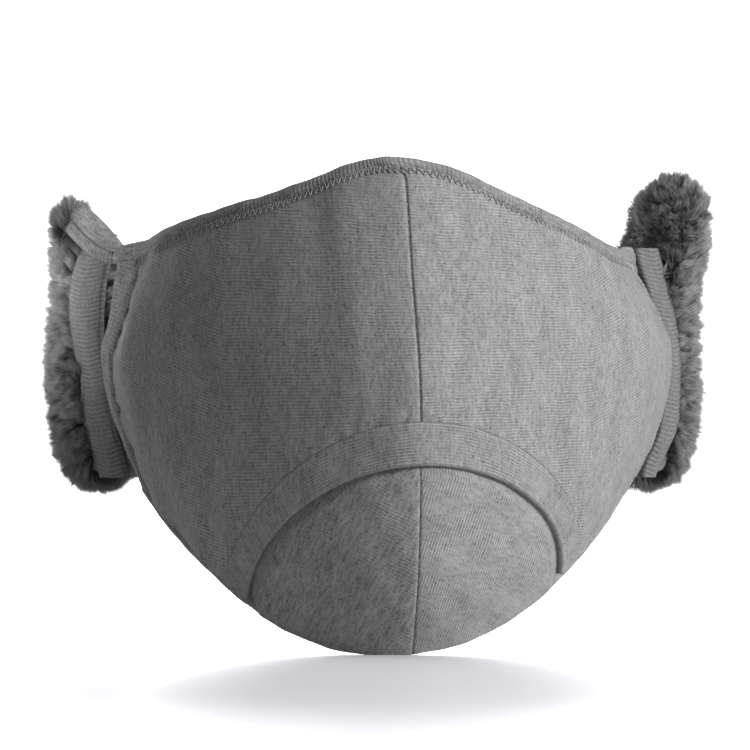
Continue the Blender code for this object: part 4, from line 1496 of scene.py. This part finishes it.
    def tie_sheet(self, name: str, cut: GussetCut, thickness: float, finish: bpy.types.Material,
                  node: str) -> None:
        """A sheet between an upper and a lower edge, from the mask to the muff.

        Args:
            name: Name of the piece, without its side.
            cut: Its two edges.
            thickness: Its thickness.
            finish: Its material.
            node: The frame's node that it stands for.
        """
        s, t = np.linspace(0, 1, 60), graded(26, 0.7)
        top, bottom = self.edge(cut.upper, s), self.edge(cut.lower, s)
        flat = bottom[:, None] + (top - bottom)[:, None] * t[None, :, None]
        normal = unit(np.cross(np.gradient(flat, axis=0), np.gradient(flat, axis=1)))
        height = np.linalg.norm(top - bottom, axis=-1)[:, None] * t[None]
        full = height[:, -1:]
        proud = 1.0 * MM * np.sin(math.pi * height / full) - roll(full - height, 0.7 * MM, 0.7 * MM)
        front = flat + normal * proud[..., None]
        thick = thickness * (1 - 0.8 * np.exp(-(full - height) / (0.6 * MM)))
        behind = front - normal * thick[..., None]
        knit = np.stack([height, s[:, None] * self.tie_run + 0 * height], -1)
        piece = double_layer(f"{name}_{self.side.word}", mirrored(front, self.side),
                             mirrored(behind, self.side), knit)
        self.across_hinge(piece, finish, top, node)

    def fold_roll(self, cut: GussetCut) -> None:
        """The ribbed fold that the gusset's lower edge is turned into."""
        s, angles = np.linspace(0, 1, 170), turns(18)
        line = self.edge(cut.lower, s)
        run = run_along(line)
        ribs = 1 + 0.07 * np.cos(2 * math.pi * run / self.rib_pitch)
        size = ((0.75 + 0.25 * swell(s, 0.25)) * ribs)[:, None, None]
        loops = strand(line, 1.9 * MM * size, 1.3 * MM * size, angles)
        piece = tube(f"gusset_fold_{self.side.word}", mirrored(line, self.side), mirrored(loops, self.side),
                     paired(angles[None] * 1.5 * MM, run[:, None]))
        self.across_hinge(piece, self.wardrobe.rib, line)

    def across_hinge(self, piece: bpy.types.Object, finish: bpy.types.Material, line: np.ndarray,
                     *nodes: str) -> None:
        """Give a piece between mask and muff its material, bake it in place and hide the frame nodes it
        stands for.
        """
        clothe(piece, finish)
        self.body
        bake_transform(piece)
        if nodes:
            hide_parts(*nodes)

    def build(self) -> None:
        """Build the whole muff."""
        self.cuff()
        self.outer_pile(self.wall())
        self.lobe_pile(self.lobe())
        self.inner_pile(self.back_wall())
        self.pocket()
        self.gussets()


# ---------------------------------------------------------------- studio

@dataclass(frozen=True)
class Lamp:
    """A square soft light: its place, its side in metres, its watts, its aim and its spread in degrees."""

    name: str
    place: tuple[float, float, float]
    side: float
    power: float
    aim: tuple[float, float, float] = (0.0, -0.05, 0.0)
    spread: float = 180

    def hang(self) -> None:
        """Put the light in the scene."""
        data = bpy.data.lights.new(self.name, "AREA")
        data.spread = math.radians(self.spread)
        data.energy, data.size = self.power, self.side
        lamp = bpy.data.objects.new(self.name, data)
        lamp.location = self.place
        lamp.rotation_euler = (Vector(self.aim) - Vector(self.place)).to_track_quat("-Z", "Y").to_euler()
        bpy.context.scene.collection.objects.link(lamp)


LAMPS = (
    Lamp("key_from_right", (1.15, -0.93, 0.62), 0.6, 40.5),
    Lamp("rim_from_left", (-0.62, 1.25, 0.45), 0.6, 14),
    Lamp("glint_on_right_muff", (-0.75, -0.06, 0.05), 0.05, 0.028, aim=(-0.096, 0.012, 0.022), spread=9),
    Lamp("top_soft", (0.0, 0.25, 1.5), 1.2, 7),
    Lamp("floor_light", (0.08, 0.75, 1.1), 1.0, 70, aim=(0.18, 1.75, 0.50)),
    Lamp("backdrop_light", (0.33, 3.1, 1.3), 1.0, 170, aim=(0.47, 4.4, 0.0)),
)


@dataclass
class Studio:
    """White paper sweep, soft lights and the camera."""

    wardrobe: Wardrobe
    yaw: float = math.radians(6.0)
    distance: float = 3.6
    aim: tuple[float, float, float] = (-0.0071, -0.060, -0.0107)
    view_width: float = 0.2193
    sensor: float = 36
    floor: float = -FACE.ear_height + 0.25 * MM
    paper_width: float = 0.68
    paper_front: float = -2.2
    paper_turn: float = 3.9
    paper_bend: float = 0.8
    bend_steps: int = 12
    paper_rise: float = 3
    sky: tuple[float, float, float, float] = (0.96, 0.98, 1, 1)
    sky_strength: float = 0.24

    def sweep(self) -> None:
        """A floor that curves up behind the mask."""
        bpy.ops.mesh.primitive_plane_add(size=1, location=(0, 0, self.floor))
        paper = bpy.context.object
        paper.name = "paper_sweep"
        bm = bmesh.new()
        bm.from_mesh(paper.data)
        for vert in bm.verts:
            vert.co.x *= self.paper_width
            vert.co.y = self.paper_turn if vert.co.y > 0 else self.paper_front
        edge = [e for e in bm.edges if all(v.co.y > 0 for v in e.verts)]
        for step in range(1, self.bend_steps + 1):
            turn = math.pi / 2 * step / self.bend_steps
            new = bmesh.ops.extrude_edge_only(bm, edges=edge)["geom"]
            verts = [g for g in new if isinstance(g, bmesh.types.BMVert)]
            for vert in verts:
                vert.co.y = self.paper_turn + self.paper_bend * math.sin(turn)
                vert.co.z = self.paper_bend * (1 - math.cos(turn))
            edge = [g for g in new if isinstance(g, bmesh.types.BMEdge) and all(v in verts for v in g.verts)]
        new = bmesh.ops.extrude_edge_only(bm, edges=edge)["geom"]
        for vert in (g for g in new if isinstance(g, bmesh.types.BMVert)):
            vert.co.z += self.paper_rise
        bmesh.ops.rotate(bm, verts=bm.verts, cent=(0, 0, 0), matrix=Matrix.Rotation(-self.yaw, 3, "Z"))
        bm.to_mesh(paper.data)
        bm.free()
        paper.data.shade_smooth()
        paper.data.materials.append(self.wardrobe.paper)

    def camera(self) -> None:
        """A camera at ear height, turned a little towards the wearer's right side."""
        data = bpy.data.cameras.new("camera")
        data.sensor_width = self.sensor
        data.lens = self.sensor * self.distance / self.view_width
        cam = bpy.data.objects.new("camera", data)
        away = Vector((-math.sin(self.yaw), -math.cos(self.yaw), 0.0))
        cam.location = Vector(self.aim) + away * self.distance
        cam.rotation_euler = (-away).to_track_quat("-Z", "Y").to_euler()
        bpy.context.scene.collection.objects.link(cam)
        bpy.context.scene.camera = cam

    def build(self) -> None:
        """Set up the studio."""
        self.sweep()
        for lamp in LAMPS:
            lamp.hang()
        world = bpy.data.worlds.new("studio")
        world.use_nodes = True
        feed(world.node_tree, world.node_tree.nodes["Background"],
             {"Color": self.sky, "Strength": self.sky_strength})
        bpy.context.scene.world = world
        bpy.context.scene.view_settings.view_transform = "Standard"
        self.camera()


def main() -> None:
    """Build every sub-assembly in order."""
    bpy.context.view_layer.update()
    wardrobe = Wardrobe()
    Studio(wardrobe).build()
    cup = ChinCup(wardrobe)
    Cheeks(wardrobe).build()
    ArchBand(wardrobe).build()
    cup.build()
    Seams(wardrobe).build(cup)
    Edges(wardrobe).build()
    for side in Side:
        EarMuff(wardrobe, side).build()


if __name__ == "__main__":
    logging.basicConfig(level=logging.INFO, format="%(message)s")
    main()
